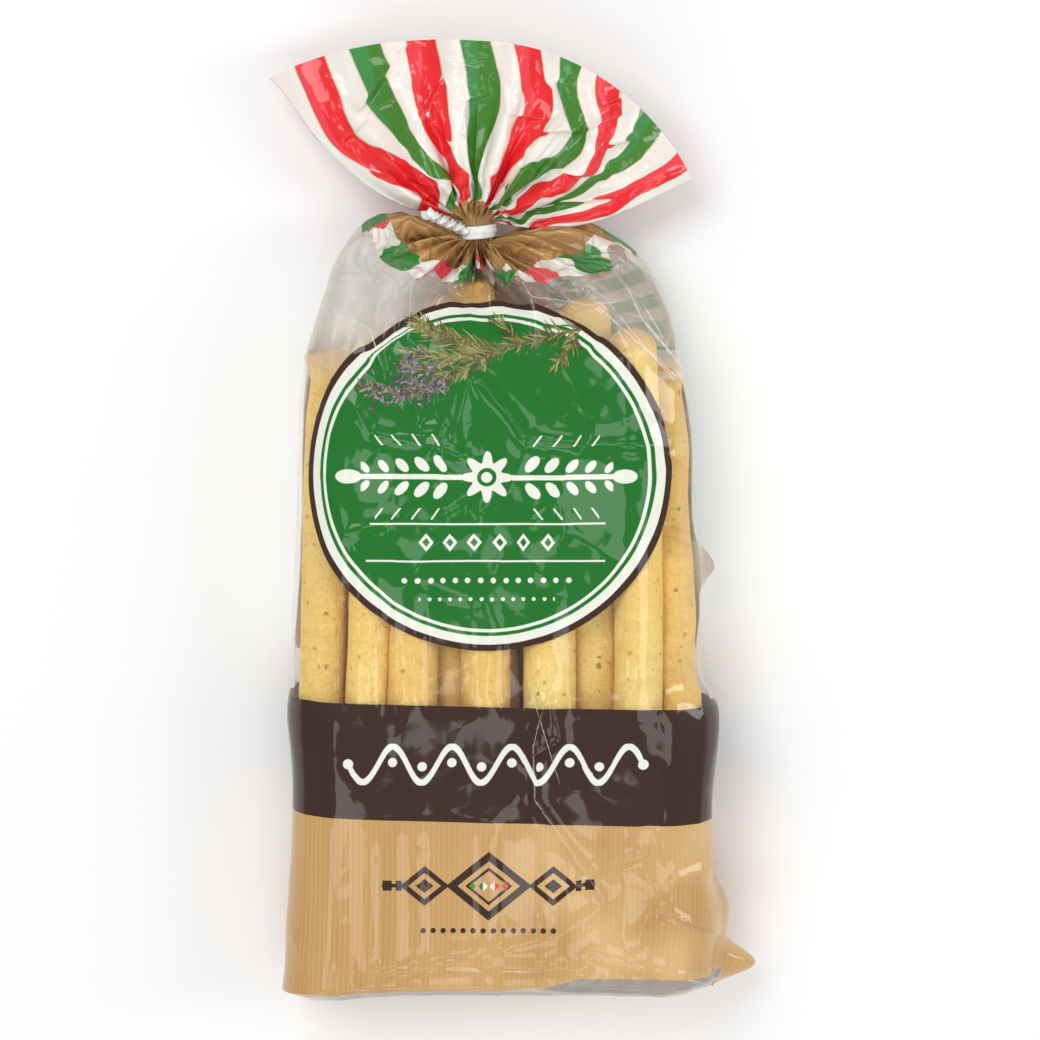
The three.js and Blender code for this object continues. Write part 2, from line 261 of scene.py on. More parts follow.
def arch(w, h, corner, a):
    """Half of a rounded rectangle, walked at an even pace from its right edge over the top to its left."""
    wall, bend = h - corner, math.pi * corner / 2
    whole = 2 * (wall + bend) + 2 * (w - corner)
    way = np.where(a > 0.5, 1 - a, a) * whole
    turned = np.clip((way - wall) / corner, 0, math.pi / 2)
    x = w - corner + corner * np.cos(turned) - np.clip(way - wall - bend, 0, None)
    z = np.clip(way, 0, wall) + corner * np.sin(turned)
    return np.where(a > 0.5, -x, x), z


def sag(x):
    """How far the front film sinks between the breadsticks."""
    deepest = np.full(np.shape(x), -FILM_SAG)
    for middle, radius in FRONT_STICKS:
        offset = np.clip(np.abs(x - middle) / radius, 0, 1)
        deepest = np.maximum(deepest, radius * (np.sqrt(1 - offset * offset) - 1))
    return deepest


def body_point(y, turn):
    side, a = layer_of(turn)
    left, right = along(y, 1), along(y, 2)
    w, middle, h = (right - left) / 2, (right + left) / 2, BODY_TOP / 2
    across, up = arch(w, h, BODY_CORNER, a)
    full = smooth(up / h, TOP_SHARE, 1)
    slack = mix(PRINTED_SAG, 1, smooth(y, *PRINT_TOP))
    front = h + up + full * (BODY_CROWN * (1 - (across / w) ** 2) + slack * sag(across + middle))
    back = h - np.minimum(h, REST_SHARE * up)
    z = np.where(side > 0, front, back)
    x = across + middle
    for place, reach, below, above, height, spread in LOOSE_FILM:
        near = hump(y - place, below, above) * np.exp(-(((z - height) / spread) ** 2))
        x = x + reach * near * smooth(across / w, LOOSE_FROM, 1)
    return np.stack(np.broadcast_arrays(x, y, z), axis=-1).astype(float)


def corner_reach(x):
    return CORNER_REACH * (x / WIDEST) ** 4


# %% The shoulder and the throat
LEFT_EAR = ((5, 25), (-27, 20))
RIGHT_EAR = ((-4, 19), (40, 13))
MIDDLE_PULL = ((0, 14), (0, -12))
EAR_SHARPNESS, SHOULDER_DROP = 2.6, 1.25


def neck_point(y, turn):
    side, a = layer_of(turn)
    angle = math.pi * a
    x = NECK_X + NECK_RADIUS * np.cos(angle)
    z = NECK_Z + side * NECK_RADIUS * np.sin(angle)
    return np.stack(np.broadcast_arrays(x, y, z), axis=-1).astype(float)


def shoulder_point(t, turn):
    """t runs from 0 at the shoulder to 1 at the throat."""
    start = body_point(np.full(np.shape(turn), float(SHOULDER_Y)), turn)
    end = neck_point(THROAT_Y, turn)
    left, right = along(SHOULDER_Y, 1), along(SHOULDER_Y, 2)
    across = (2 * start[..., 0] - left - right) / (right - left)
    edge = np.minimum(1, np.abs(across)) ** EAR_SHARPNESS
    plan = []
    for axis in (0, 1):
        pulls = [mix(MIDDLE_PULL[k][axis], np.where(across < 0, LEFT_EAR[k][axis], RIGHT_EAR[k][axis]), edge)
                 for k in (0, 1)]
        first, last = start[..., axis], end[..., axis]
        plan.append(bezier(t, first, first + pulls[0], last + pulls[1], last))
    z = mix(end[..., 2], start[..., 2], 1 - t**SHOULDER_DROP)
    return np.stack(np.broadcast_arrays(plan[0], plan[1], np.maximum(z, 0)), axis=-1)


# %% [markdown]
# ## Where the frame puts it
#
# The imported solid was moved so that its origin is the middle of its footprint. Working out the lowest corner
# of the same form here, at the solid's own coarse steps, gives that move, and nothing is fitted by eye.

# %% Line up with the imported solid
SOLID_ACROSS, SOLID_BODY_STEPS, SOLID_CROWDING = 48, 18, 1.3


def solid_body_ring(k):
    y = mix(BASE_Y, SHOULDER_Y, (k / SOLID_BODY_STEPS) ** SOLID_CROWDING)
    ring = body_point(np.full(solid_turns.shape, y), solid_turns)
    ring[:, 1] -= corner_reach(ring[:, 0]) * hump(y - BASE_Y, CORNER_FADE, CORNER_FADE)
    return ring


solid_turns = np.concatenate([
    np.linspace(-0.5, 0.5, SOLID_ACROSS + 1),
    np.linspace(0.5, 1, SOLID_ACROSS // 2 + 1),
    np.linspace(-1, -0.5, SOLID_ACROSS // 2 + 1)])
solid_body = np.concatenate([solid_body_ring(k) for k in range(SOLID_BODY_STEPS)])
solid_high_x = solid_body[:, 0].max()
base_low_y = (solid_body_ring(0)[:, 1] - BASE_EDGE).min()
SHIFT = np.array([1000 * bag_box[1][0] - solid_high_x, 1000 * bag_box[0][1] - base_low_y, 0.0])
print("the frame moved the form by", np.round(SHIFT, 2), "mm")

# %% [markdown]
# ## Crumples
#
# Film that has been folded and gathered never lies smooth. It breaks into nearly flat facets that meet in
# sharp ridges. The lowest of many tilted shallow bowls makes that pattern: inside one bowl the surface is
# gentle, and where two bowls cross there is a ridge. Its strength changes over the pack, from almost none
# where bread presses the film tight to a lot at the shoulders.
#
# A few long creases are put in one by one, because they are what the eye catches first. Each is a broken line
# with a height that falls off quickly to both sides.

# %% Facets


def facets(u, v, size, seed, tilt=0.07, bowl=0.004):
    """Ridge-edged dents over a flat film: their height, about -1 to 1, and a random number for each dent."""
    rng = np.random.default_rng(seed)
    height, owner = np.full(u.shape, 1e9), np.zeros(u.shape)
    for us in np.arange(u.min() - size, u.max() + size, size):
        for vs in np.arange(v.min() - size, v.max() + size, size):
            du, dv = u - us - size * rng.uniform(-0.5, 0.5), v - vs - size * rng.uniform(-0.5, 0.5)
            slope, rise, mark = rng.normal(0, tilt, 2), rng.normal(0, 0.25 * tilt * size), rng.uniform(-1, 1)
            own = rise + slope[0] * du + slope[1] * dv + bowl * (du * du + dv * dv)
            lower = own < height
            height, owner = np.where(lower, own, height), np.where(lower, mark, owner)
    return np.clip((height - height.mean()) / (2 * height.std()), -1.5, 1.5), owner


def crease(x, y, line, rise, width):
    """A ridge along a broken line, highest on the line itself."""
    nearest = np.full(x.shape, 1e9)
    for (x0, y0), (x1, y1) in zip(line, line[1:]):
        dx, dy = x1 - x0, y1 - y0
        t = np.clip(((x - x0) * dx + (y - y0) * dy) / (dx * dx + dy * dy), 0, 1)
        nearest = np.minimum(nearest, np.hypot(x - x0 - t * dx, y - y0 - t * dy))
    return rise * np.exp(-nearest / width)


# %% Tucks and pleats


def beside(x, y, folds, reach):
    """For each fold: how much it hides, its direction, the distance to its right, a mask of its length."""
    for (x0, y0), (x1, y1), hidden in folds:
        dx, dy = x1 - x0, y1 - y0
        length = math.hypot(dx, dy)
        way = ((x - x0) * dx + (y - y0) * dy) / length**2
        off = ((x - x0) * dy - (y - y0) * dx) / length
        ends = smooth(way, -reach, 0.25 - reach) * (1 - smooth(way, 0.75 + reach, 1 + reach))
        yield hidden, (dx / length, dy / length), off, ends


def tuck(x, y, folds, fade=9.0, soft=0.45):
    """How far the print moves where film is folded away: towards each fold, dying off with distance."""
    move_x, move_y = np.zeros(x.shape), np.zeros(x.shape)
    for hidden, (along_x, along_y), off, ends in beside(x, y, folds, 0.15):
        push = 0.5 * hidden * np.tanh(off / soft) * np.exp(-np.abs(off) / fade) * ends
        move_x, move_y = move_x + push * along_y, move_y - push * along_x
    return move_x, move_y


def flap(x, y, folds, rise=0.55):
    """The overlap at each fold: a step up on one side of it that slopes away slowly on the other."""
    total = np.zeros(x.shape)
    for hidden, _, off, ends in beside(x, y, folds, 0.1):
        total = total + rise * abs(hidden) * np.where(off > 0, np.exp(-off / 0.5), np.exp(off / 3.5)) * ends
    return total


def folded(place, seed, count, least=0.35):
    """Sharp pleats round the tube, up and down in turn between uneven knots; place runs from -1 to 1."""
    rng = np.random.default_rng(seed)
    knots = np.linspace(-1, 1, 2 * count + 1)
    knots[1:-1] += rng.uniform(-0.38, 0.38, 2 * count - 1) / count
    heights = rng.uniform(least, 1, 2 * count + 1) * np.where(np.arange(2 * count + 1) % 2, 1, -1)
    heights[-1] = heights[0]
    return np.interp(place, knots, heights)


# %% The creases that show most
LONG_CREASES = (  # a line in the plan, rise, width
    (((-12, 43), (-16, 27)), 0.5, 1.6),
    (((-9, 43), (-2, 34), (4, 26.5), (20, 24.4), (40, 23.7)), 0.75, 1.8),
    (((-44, 35), (-40, 28), (-24, 24.4), (-12, 21)), 0.55, 1.8),
    (((-27, 38), (-27, 29), (-19, 30), (-24, 21.5)), 0.45, 1.5),
    (((-23, 1.5), (-12, 8), (-9, 4), (-5.5, 8)), 0.35, 1.4),
    (((7, 2), (13, 8), (15, -1)), 0.35, 1.4),
    (((-52, 14.6), (-47, -1), (-34, 2)), 0.4, 1.6),
    (((9.7, -49.5), (6.3, -62.5), (6.8, -78.4), (26.3, -107)), 0.9, 1.6),
    (((4, -67), (14, -61), (12, -50)), 0.6, 1.6),
    (((19, -101), (37, -95), (42.6, -107), (38, -117)), 0.6, 3.0),
    (((48, -104), (56, -101)), 0.7, 2.0),
    (((-40, -131), (-17.5, -127), (21, -129)), 0.9, 1.8),
    (((-16, -126), (14, -118.7), (30, -108)), 0.45, 2.2),
    (((22.6, -124.5), (51, -131.7)), 0.7, 1.8),
    (((44, -112), (51, -116), (62.6, -123)), 0.9, 2.0),
    (((-63, -121), (-59, -129)), 0.7, 1.8),
    (((25.4, 67), (38, 52), (51, 37)), 1.0, 1.4),
    (((37, 65), (44, 53)), 0.8, 1.5),
    (((-28.3, 70), (-29, 54)), 0.8, 1.5),
    (((-52, 62), (-40, 57), (-36, 45)), 0.7, 1.5),
    (((2, 72), (6, 66), (20, 64)), 0.7, 1.3),
)

# %% [markdown]
# ## The film round the bread
#
# One tube of film runs from the foot to the tie. It is printed flat before the bag is made, so its texture
# coordinates are flat millimetres: across, from the middle of the front, and along. Near the tie the sheet is
# gathered into pleats, whose number and depth are mixed from a few waves so that no two are alike.

# %% Sizes of the film
FRONT_COLUMNS, BACK_COLUMNS = 240, 144
CAP_ROWS, EDGE_ROWS, BODY_ROWS, SHOULDER_ROWS, NECK_ROWS = 4, 4, 170, 74, 4
CAP_FILM, EDGE_FILM = 18, 4  # the film's own length from the middle of the foot to its edge, and round it
SHOULDER_FILM = 75  # the film's own length from the shoulder to the throat
TIE_Y = (THROAT_Y + HEAD_Y) / 2


def turns_round(front, back):
    """Places round the tube from the back seam at -1, over the front, to the back seam at 1."""
    half = back // 2
    return np.concatenate([
        np.linspace(-1, -0.5, half + 1)[:-1],
        np.linspace(-0.5, 0.5, front + 1)[:-1],
        np.linspace(0.5, 1, half + 1)])


def layer_width(y):
    """The length of the film across one layer at y."""
    w = (along(y, 2) - along(y, 1)) / 2
    return 2 * (BODY_TOP / 2 - BODY_CORNER + math.pi * BODY_CORNER / 2 + w - BODY_CORNER)


def foot_ring(turn, draw, y):
    ring = body_point(np.full(turn.shape, float(BASE_Y)), turn)
    ring[:, 1] = y - corner_reach(ring[:, 0])
    ring[:, 0] *= draw
    ring[:, 2] = BODY_TOP / 2 + (ring[:, 2] - BODY_TOP / 2) * draw
    return ring

# %% Rings from the foot to the tie


def film_rings(turn):
    """Every ring from the foot to the tie, each with its place along the film and its share of gathering."""
    rings, place, gather = [], [], []

    def add(ring, v, g):
        rings.append(ring)
        place.append(v)
        gather.append(g)

    for t in np.arange(CAP_ROWS) / CAP_ROWS:
        ring = foot_ring(turn, 1 - BASE_DRAW, BASE_Y - BASE_EDGE + 1.2 * (1 - t))
        ring[:, 2] = BODY_TOP / 2 + (ring[:, 2] - BODY_TOP / 2) * t
        add(ring, BASE_Y - EDGE_FILM - CAP_FILM * (1 - t), 0)
    for t in np.arange(EDGE_ROWS) / EDGE_ROWS:
        draw = 1 - (1 - math.sin(t * math.pi / 2)) * BASE_DRAW
        add(foot_ring(turn, draw, BASE_Y - BASE_EDGE * (1 - t) ** 2), BASE_Y - EDGE_FILM * (1 - t), 0)
    for y in np.linspace(BASE_Y, SHOULDER_Y, BODY_ROWS, endpoint=False):
        ring = body_point(np.full(turn.shape, y), turn)
        ring[:, 1] -= corner_reach(ring[:, 0]) * hump(y - BASE_Y, CORNER_FADE, CORNER_FADE)
        add(ring, y, 0)
    for t in np.linspace(0, 1, SHOULDER_ROWS, endpoint=False):
        add(shoulder_point(t, turn), SHOULDER_Y + SHOULDER_FILM * t, t)
    for y in np.linspace(THROAT_Y, TIE_Y, NECK_ROWS):
        add(neck_point(y, turn), SHOULDER_Y + SHOULDER_FILM + y - THROAT_Y, 1)
    return np.array(rings), np.array(place), np.array(gather)


film_turns = turns_round(FRONT_COLUMNS, BACK_COLUMNS)
film_form, film_place, film_gather = film_rings(film_turns)
film_u = film_turns[None, :] * layer_width(np.clip(film_form[:, :, 1], BASE_Y, SHOULDER_Y))
film_v = np.repeat(film_place[:, None], len(film_turns), axis=1)
print("film grid", film_form.shape[:2], "and", round(2 * float(layer_width(0.0))), "mm round the body")

# %% Pleats towards the tie


def waves(place, parts, sharpness=0.7):
    """A mix of waves with crests sharper than a sine's. Each part is how many, its share and its phase."""
    total = sum(share * np.sin(2 * math.pi * (count * place + phase)) for count, share, phase in parts)
    return np.sign(total) * np.abs(total) ** sharpness


def outward(points):
    """The direction away from the film's outer side, from each point's neighbours in the grid."""
    along_rows = np.gradient(points, axis=0)
    across = np.empty_like(points)
    across[:, 1:-1] = points[:, 2:] - points[:, :-2]
    across[:, 0] = across[:, -1] = points[:, 1] - points[:, -2]
    facing = np.cross(across, along_rows)
    return facing / np.maximum(np.linalg.norm(facing, axis=-1, keepdims=True), 1e-9)


ROLLING_DEPTH, BROAD_DEPTH, FINE_DEPTH = 1.1, 2.6, 2.1
film_side, _ = layer_of(film_turns)
near_tie = film_gather[:, None]
bend = 0.02 * near_tie * np.sin(2 * math.pi * (2.7 * film_turns + 0.3 + near_tie))
broad_pleats = folded(film_turns + bend, 41, 15)
fine_pleats = folded(film_turns - bend, 42, 38)
rolling = waves(film_turns[None, :] + bend, ((7, 0.6, 0.15), (4, 0.45, 0.7)))
gathering = smooth(near_tie, 0.2, 0.6) * (1 - smooth(near_tie, 0.84, 1.0))
pleat_height = gathering * (ROLLING_DEPTH * rolling + BROAD_DEPTH * broad_pleats)
tight = smooth(near_tie, 0.5, 0.8) * (1 - 0.5 * smooth(near_tie, 0.88, 1.0))
pleat_height = pleat_height + tight * FINE_DEPTH * fine_pleats
print("pleats reach", round(float(np.abs(pleat_height).max()), 1), "mm")

# %% How strongly the film is crumpled, place by place
LABEL_CENTRE, LABEL_RADIUS = np.array((-6.9, 15.5)), 52.5
BAND_TOP, BAND_FOOT, BAND_TILT = -51.6, -85.4, 0.022
CALM = 0.14  # millimetres of crumple where nothing else says more
plan_x, plan_y = film_form[:, :, 0], film_form[:, :, 1]
front = film_side[None, :] > 0
big, big_owner = facets(film_u, film_v, 17, seed=11)
small, small_owner = facets(film_u, film_v, 8, seed=12)


def around_spot(x, y, across, up):
    """1 at a place on the front, dying off over these distances."""
    return np.exp(-(((plan_x - x) / across) ** 2) - ((plan_y - y) / up) ** 2) * front


from_label = np.hypot(plan_x - LABEL_CENTRE[0], plan_y - LABEL_CENTRE[1])
under_print = front * np.exp(-((from_label / 50) ** 6))
in_band = smooth(plan_y, -92, -84) * (1 - smooth(plan_y, -56, -48)) * front
up_to_neck = 1 - smooth(near_tie, 0.8, 1.0)
strength = CALM + sum(more * where for more, where in (
    (0.7, under_print),
    (0.2, in_band),
    (0.75, around_spot(-8, 26, 38, 22)),
    (0.75, smooth(plan_x, 5, 45) * smooth(-plan_y, 85, 105) * front),
    (0.8, smooth(near_tie, 0.0, 0.25) * up_to_neck),
    (0.35, smooth(np.abs(film_u), 52, 72) * up_to_neck),
    (0.4, around_spot(8, -66, 13, 22)),
))
strength = strength * np.where(film_place < BASE_Y - 3, 0.3, 1)[:, None]
strength = strength * (1 - smooth(near_tie, 0.85, 1.0))
print("crumple strength up to", round(float(strength.max()), 2), "mm")

# %% Tucks in the front and round the neck
FRONT_TUCKS = (  # from, to, and how much film is hidden
    ((-40, 50), (-26, 58), 3.2),
    ((14, 60), (24, 53), 1.8),
    ((9.7, -49.5), (6.3, -80), 1.2),
    ((-9, 43), (4, 26.5), 1.2),
    ((46, 20), (58, 8), 1.5),
    ((20, -101), (40, -95), 2.0),
    ((46, -103), (58, -100), 2.4),
    ((44, -112), (58, -121), 3.0),
)
NECK_TUCKS = []
rng = np.random.default_rng(77)
for bearing in np.arange(-172, -5, 11.5):
    bearing = math.radians(bearing + rng.uniform(-4, 4))
    ends = [(NECK_X + reach * math.cos(bearing), TIE_Y + reach * math.sin(bearing))
            for reach in (rng.uniform(5, 8), rng.uniform(15, 27))]
    NECK_TUCKS.append((*ends, rng.uniform(1.5, 6)))
print(len(FRONT_TUCKS) + len(NECK_TUCKS), "tucks")

# %% Lift the film off its form
CREASE_SHARE, FLAP_RISE = 1.3, 0.25
EVEN_COLUMNS = 7  # the film's facing is averaged over so many columns to each side, which softens the grooves
lift = strength * (0.95 * big + 0.3 * small) + pleat_height
for line, rise, width in LONG_CREASES:
    lift = lift + CREASE_SHARE * np.where(front, crease(plan_x, plan_y, line, rise, width), 0) * up_to_neck
lift = lift + np.where(front, flap(plan_x, plan_y, FRONT_TUCKS, FLAP_RISE), 0)
lift[:, -1] = lift[:, 0] = (lift[:, -1] + lift[:, 0]) / 2

slack = mix(PRINTED_SAG, 1, smooth(plan_y, *PRINT_TOP))
taut = -(0.55 + 0.43 * np.maximum(under_print, in_band)) * sag(plan_x) * slack
taut = taut * front * (near_tie < 0.5) * smooth(plan_y, BASE_Y, BASE_Y + 12)
facing = outward(film_form)
facing = sum(np.roll(facing, k, axis=1) for k in range(-EVEN_COLUMNS, EVEN_COLUMNS + 1))
facing /= np.linalg.norm(facing, axis=-1, keepdims=True)
film_points = film_form + facing * (lift + taut)[:, :, None]
film_points[:, :, 2] = np.maximum(film_points[:, :, 2], 0.05)
film_points = film_points + SHIFT
print("crumples reach", round(float(np.abs(lift).max()), 2), "mm")

# %% Make the film piece


def film_mesh(name, points, maps):
    """A tube of film from its grid of points, whose last column lies on the first, with its texture maps."""
    rings, columns = points.shape[0], points.shape[1] - 1
    ring_of, column_of = tube_corners(rings, columns)
    made = make_object(name, *joined_tubes([points[:, :-1]]))
    for map_name, (across, up) in maps.items():
        add_map(made, map_name, np.stack([across[ring_of, column_of], up[ring_of, column_of]], axis=-1))
    row, column = np.meshgrid(np.linspace(0, 1, rings), np.linspace(0, 1, columns + 1), indexing="ij")
    add_map(made, "OFBake", np.stack([column[ring_of, column_of], row[ring_of, column_of]], axis=-1))
    return made


tuck_x, tuck_y = (np.where(front, moved, 0) for moved in tuck(plan_x, plan_y, FRONT_TUCKS))
neck_x, neck_y = (np.where(front, moved, 0) for moved in tuck(plan_x, plan_y, NECK_TUCKS, 5.0, 0.35))
slip = strength * (0.15 * small_owner + 0.25 * big_owner)
body_y = np.clip(plan_y, BASE_Y, SHOULDER_Y)
round_the_side = film_u - plan_x + (along(body_y, 1) + along(body_y, 2)) / 2
label_x = plan_x + tuck_x - LABEL_CENTRE[0] + round_the_side * (1 - smooth(near_tie, 0.0, 0.2))
label_y = plan_y + tuck_y - LABEL_CENTRE[1]
label_y = label_y + 0.014 * np.clip(label_y - 37, 0, None) ** 2  # foreshortened where it bends to the neck
film_body = film_mesh("film_body", film_points, {
    "film": (film_u + tuck_x + neck_x + slip, film_v + tuck_y + neck_y + 0.6 * slip),
    "label": (label_x + 0.5 * slip, label_y + 0.4 * slip),
})
# how deep each pleat's hollow is, which the neck's print darkens with painted shade
add_number(film_body, "valley_shade", smooth(-pleat_height, -0.6, 2.6)[:, :-1].ravel())
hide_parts("bag")
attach(film_body, "root")
say_size(film_body)

# %% [markdown]
# ## A printed sprig
#
# The label carries a small picture of a rosemary sprig. It is ink, far thinner than the film, but drawing
# each needle as its own sliver keeps its outline crisp. The slivers are laid out flat, in the plan, and then
# put down on the crumpled film: for each point the film's grid is searched for the place right under it.

# %% Putting points down on the film
first_row = CAP_ROWS + EDGE_ROWS
front_film = film_points[first_row:first_row + BODY_ROWS + SHOULDER_ROWS][:, film_side > 0]


def on_film(x, y, lift):
    """Points of the front film under the places x, y of the frame's plan, raised by lift."""
    rows, columns = front_film.shape[:2]
    near = (np.abs(front_film[:, :, 1] - y.mean()) < 40) & (np.abs(front_film[:, :, 0] - x.mean()) < 55)
    row_of, column_of = np.nonzero(near)
    offered = front_film[row_of, column_of]
    first = np.array([np.argmin((offered[:, 0] - px) ** 2 + (offered[:, 1] - py) ** 2)
                      for px, py in zip(x, y)])
    r, c = row_of[first].astype(float), column_of[first].astype(float)
    for _ in range(5):
        i, j = np.clip(r.astype(int), 0, rows - 2), np.clip(c.astype(int), 0, columns - 2)
        p, up, over = front_film[i, j], front_film[i + 1, j], front_film[i, j + 1]
        step_r, step_c = up - p, over - p
        dx, dy = x - p[:, 0], y - p[:, 1]
        size = step_r[:, 0] * step_c[:, 1] - step_r[:, 1] * step_c[:, 0]
        r = np.clip(i + (dx * step_c[:, 1] - dy * step_c[:, 0]) / size, 0, rows - 1.001)
        c = np.clip(j + (step_r[:, 0] * dy - step_r[:, 1] * dx) / size, 0, columns - 1.001)
    i, j = r.astype(int), c.astype(int)
    fr, fc = (r - i)[:, None], (c - j)[:, None]
    corners = (front_film[i, j], front_film[i, j + 1], front_film[i + 1, j], front_film[i + 1, j + 1])
    placed = mix(mix(corners[0], corners[1], fc), mix(corners[2], corners[3], fc), fr)
    facing = np.cross(corners[1] - corners[0], corners[2] - corners[0])
    facing /= np.linalg.norm(facing, axis=1, keepdims=True)
    return placed + lift[:, None] * facing


# %% One sliver of ink
rng = np.random.default_rng(5)
blades, blade_parts, blade_shades = [], [], []  # each blade is a row of its left and right points
NEEDLE, PETAL, WOOD = range(3)


def sliver(x, y, angle, length, half_width, bend, part, shade, steps=6):
    """A blade that starts at x, y, tapers to both ends and curves by bend on its way."""
    way = np.linspace(0, 1, steps)
    heading = angle + bend * way
    step = length / (steps - 1)
    xs = x + np.concatenate([[0], np.cumsum(np.cos(heading[:-1]) * step)])
    ys = y + np.concatenate([[0], np.cumsum(np.sin(heading[:-1]) * step)])
    width = half_width * np.sin(math.pi * np.clip(0.12 + 0.86 * way, 0, 1)) ** 0.6
    left = np.stack([xs - np.sin(heading) * width, ys + np.cos(heading) * width], axis=-1)
    right = np.stack([xs + np.sin(heading) * width, ys - np.cos(heading) * width], axis=-1)
    blades.append(np.stack([left, right], axis=1))
    blade_parts.append(part)
    blade_shades.append(shade)

# %% One twig


def twig(line, thickness, needles, longest, flowers, spread):
    """A woody line with needles to either side all along it, and flowers between them near its far end."""
    line = np.array(line, float)
    way = np.linspace(0, 1, 24)
    knots = np.linspace(0, 1, len(line))
    xs, ys = (np.polyval(np.polyfit(knots, line[:, axis], len(line) - 1), way) for axis in (0, 1))
    for k in range(len(way) - 1):
        angle = math.atan2(ys[k + 1] - ys[k], xs[k + 1] - xs[k])
        length = math.hypot(xs[k + 1] - xs[k], ys[k + 1] - ys[k])
        sliver(xs[k], ys[k], angle, length * 1.5, thickness * (1 - 0.6 * way[k]), 0, WOOD, rng.uniform(), 4)
    for k in range(needles):
        t = (k + rng.uniform()) / needles
        px, py = np.interp(t, way, xs), np.interp(t, way, ys)
        ahead = angle
        if t < 0.95:
            ahead = math.atan2(np.interp(t + 0.04, way, ys) - py, np.interp(t + 0.04, way, xs) - px)
        side = rng.choice((-1, 1))
        long = longest * (0.55 + 0.45 * rng.uniform()) * (1 - 0.35 * t)
        sliver(px, py, ahead + side * rng.uniform(*spread), long, rng.uniform(0.13, 0.27),
               -side * rng.uniform(0, 0.5), NEEDLE, rng.uniform())
    for _ in range(flowers):
        t = rng.uniform(0.45, 0.97)
        px, py = np.interp(t, way, xs) + rng.normal(0, 1.5), np.interp(t, way, ys) + rng.normal(0, 1.9)
        angle, length, half_width = rng.uniform(0, 6.3), rng.uniform(0.9, 1.8), rng.uniform(0.2, 0.4)
        sliver(px, py, angle, length, half_width, 0.3, PETAL, rng.uniform(), 5)

# %% Draw the sprig flat
TWIGS = (  # line, thickness, needles, longest needle, flowers, how far the needles spread
    (((27, 41.5), (15, 38.8), (2, 35.8)), 0.45, 70, 6.5, 0, (0.3, 1.4)),
    (((4, 35), (-5, 36.5), (-13, 39.5), (-19, 43)), 0.3, 190, 9.5, 0, (0.0, 0.8)),
    (((1, 35), (-7, 33.5), (-15, 34), (-22, 35)), 0.3, 120, 8.0, 0, (0.0, 0.8)),
    (((2, 35.5), (-5, 31), (-14, 26), (-24, 23.5), (-36, 25.5)), 0.4, 130, 5.5, 260, (0.2, 1.2)),
    (((-8, 30), (-17, 30), (-24, 32)), 0.3, 40, 5.0, 90, (0.2, 1.2)),
    (((25.5, 40), (23, 35), (19, 31.5)), 0.3, 34, 5.5, 0, (0.2, 1.2)),
    (((9, 37), (6, 41), (2, 44)), 0.25, 26, 5.0, 0, (0.1, 0.9)),
)
for each_twig in TWIGS:
    twig(*each_twig)
print(len(blades), "slivers")

# %% Lay the sprig on the label
INK_LOW, INK_SPREAD = 0.07, 0.12  # above the film, and from the first sliver to the last: none coincide
blade_starts = np.cumsum([0] + [2 * len(blade) for blade in blades]).tolist()
owner = np.repeat(np.arange(len(blades)), [2 * len(blade) for blade in blades])
sprig_xy = np.concatenate([blade.reshape(-1, 2) for blade in blades]) + LABEL_CENTRE + SHIFT[:2]
sprig_points = on_film(sprig_xy[:, 0], sprig_xy[:, 1], INK_LOW + INK_SPREAD * owner / len(blades))
sprig_print = make_object("sprig_print", sprig_points, [
    face for blade, start in zip(blades, blade_starts) for face in strip_faces(len(blade), start)])
add_number(sprig_print, "part", np.array(blade_parts)[owner])
add_number(sprig_print, "shade", np.array(blade_shades)[owner])
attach(sprig_print, "root")
say_size(sprig_print)

# %% [markdown]
# ## Crease lines
#
# Clear film turns white where it is folded hard, and a sharp crease catches the light in a thin bright line. So
# each sharp crease gets a fine pale line, partly that whitening and partly a painted highlight. The long
# creases get theirs, and short ones are scattered over the loose film of the shoulders, mostly pointing at the
# tie.

# %% A fine line on a crease
LINE_LIFT, LINE_STEP = 0.06, 1.1
rng = np.random.default_rng(9)


def creased_line(points, half_width):
    """The points of a ribbon along a broken line in the plan, which swells and thins."""
    points = np.array(points, float)
    lengths = np.concatenate([[0], np.cumsum(np.hypot(*np.diff(points, axis=0).T))])
    way = np.linspace(0, 1, max(4, int(lengths[-1] / LINE_STEP)))
    xs, ys = (np.interp(way * lengths[-1], lengths, points[:, axis]) + rng.normal(0, 0.06, len(way))
              for axis in (0, 1))
    heading = np.arctan2(np.gradient(ys), np.gradient(xs))
    width = half_width * np.clip(np.sin(math.pi * way), 0.02, 1) ** 0.5 * rng.uniform(0.35, 1.2, len(way))
    sides = np.stack([
        np.stack([xs - side * np.sin(heading) * width, ys + side * np.cos(heading) * width], axis=-1)
        for side in (1, -1)], axis=1).reshape(-1, 2) + SHIFT[:2]
    return on_film(sides[:, 0], sides[:, 1], np.full(len(sides), LINE_LIFT))


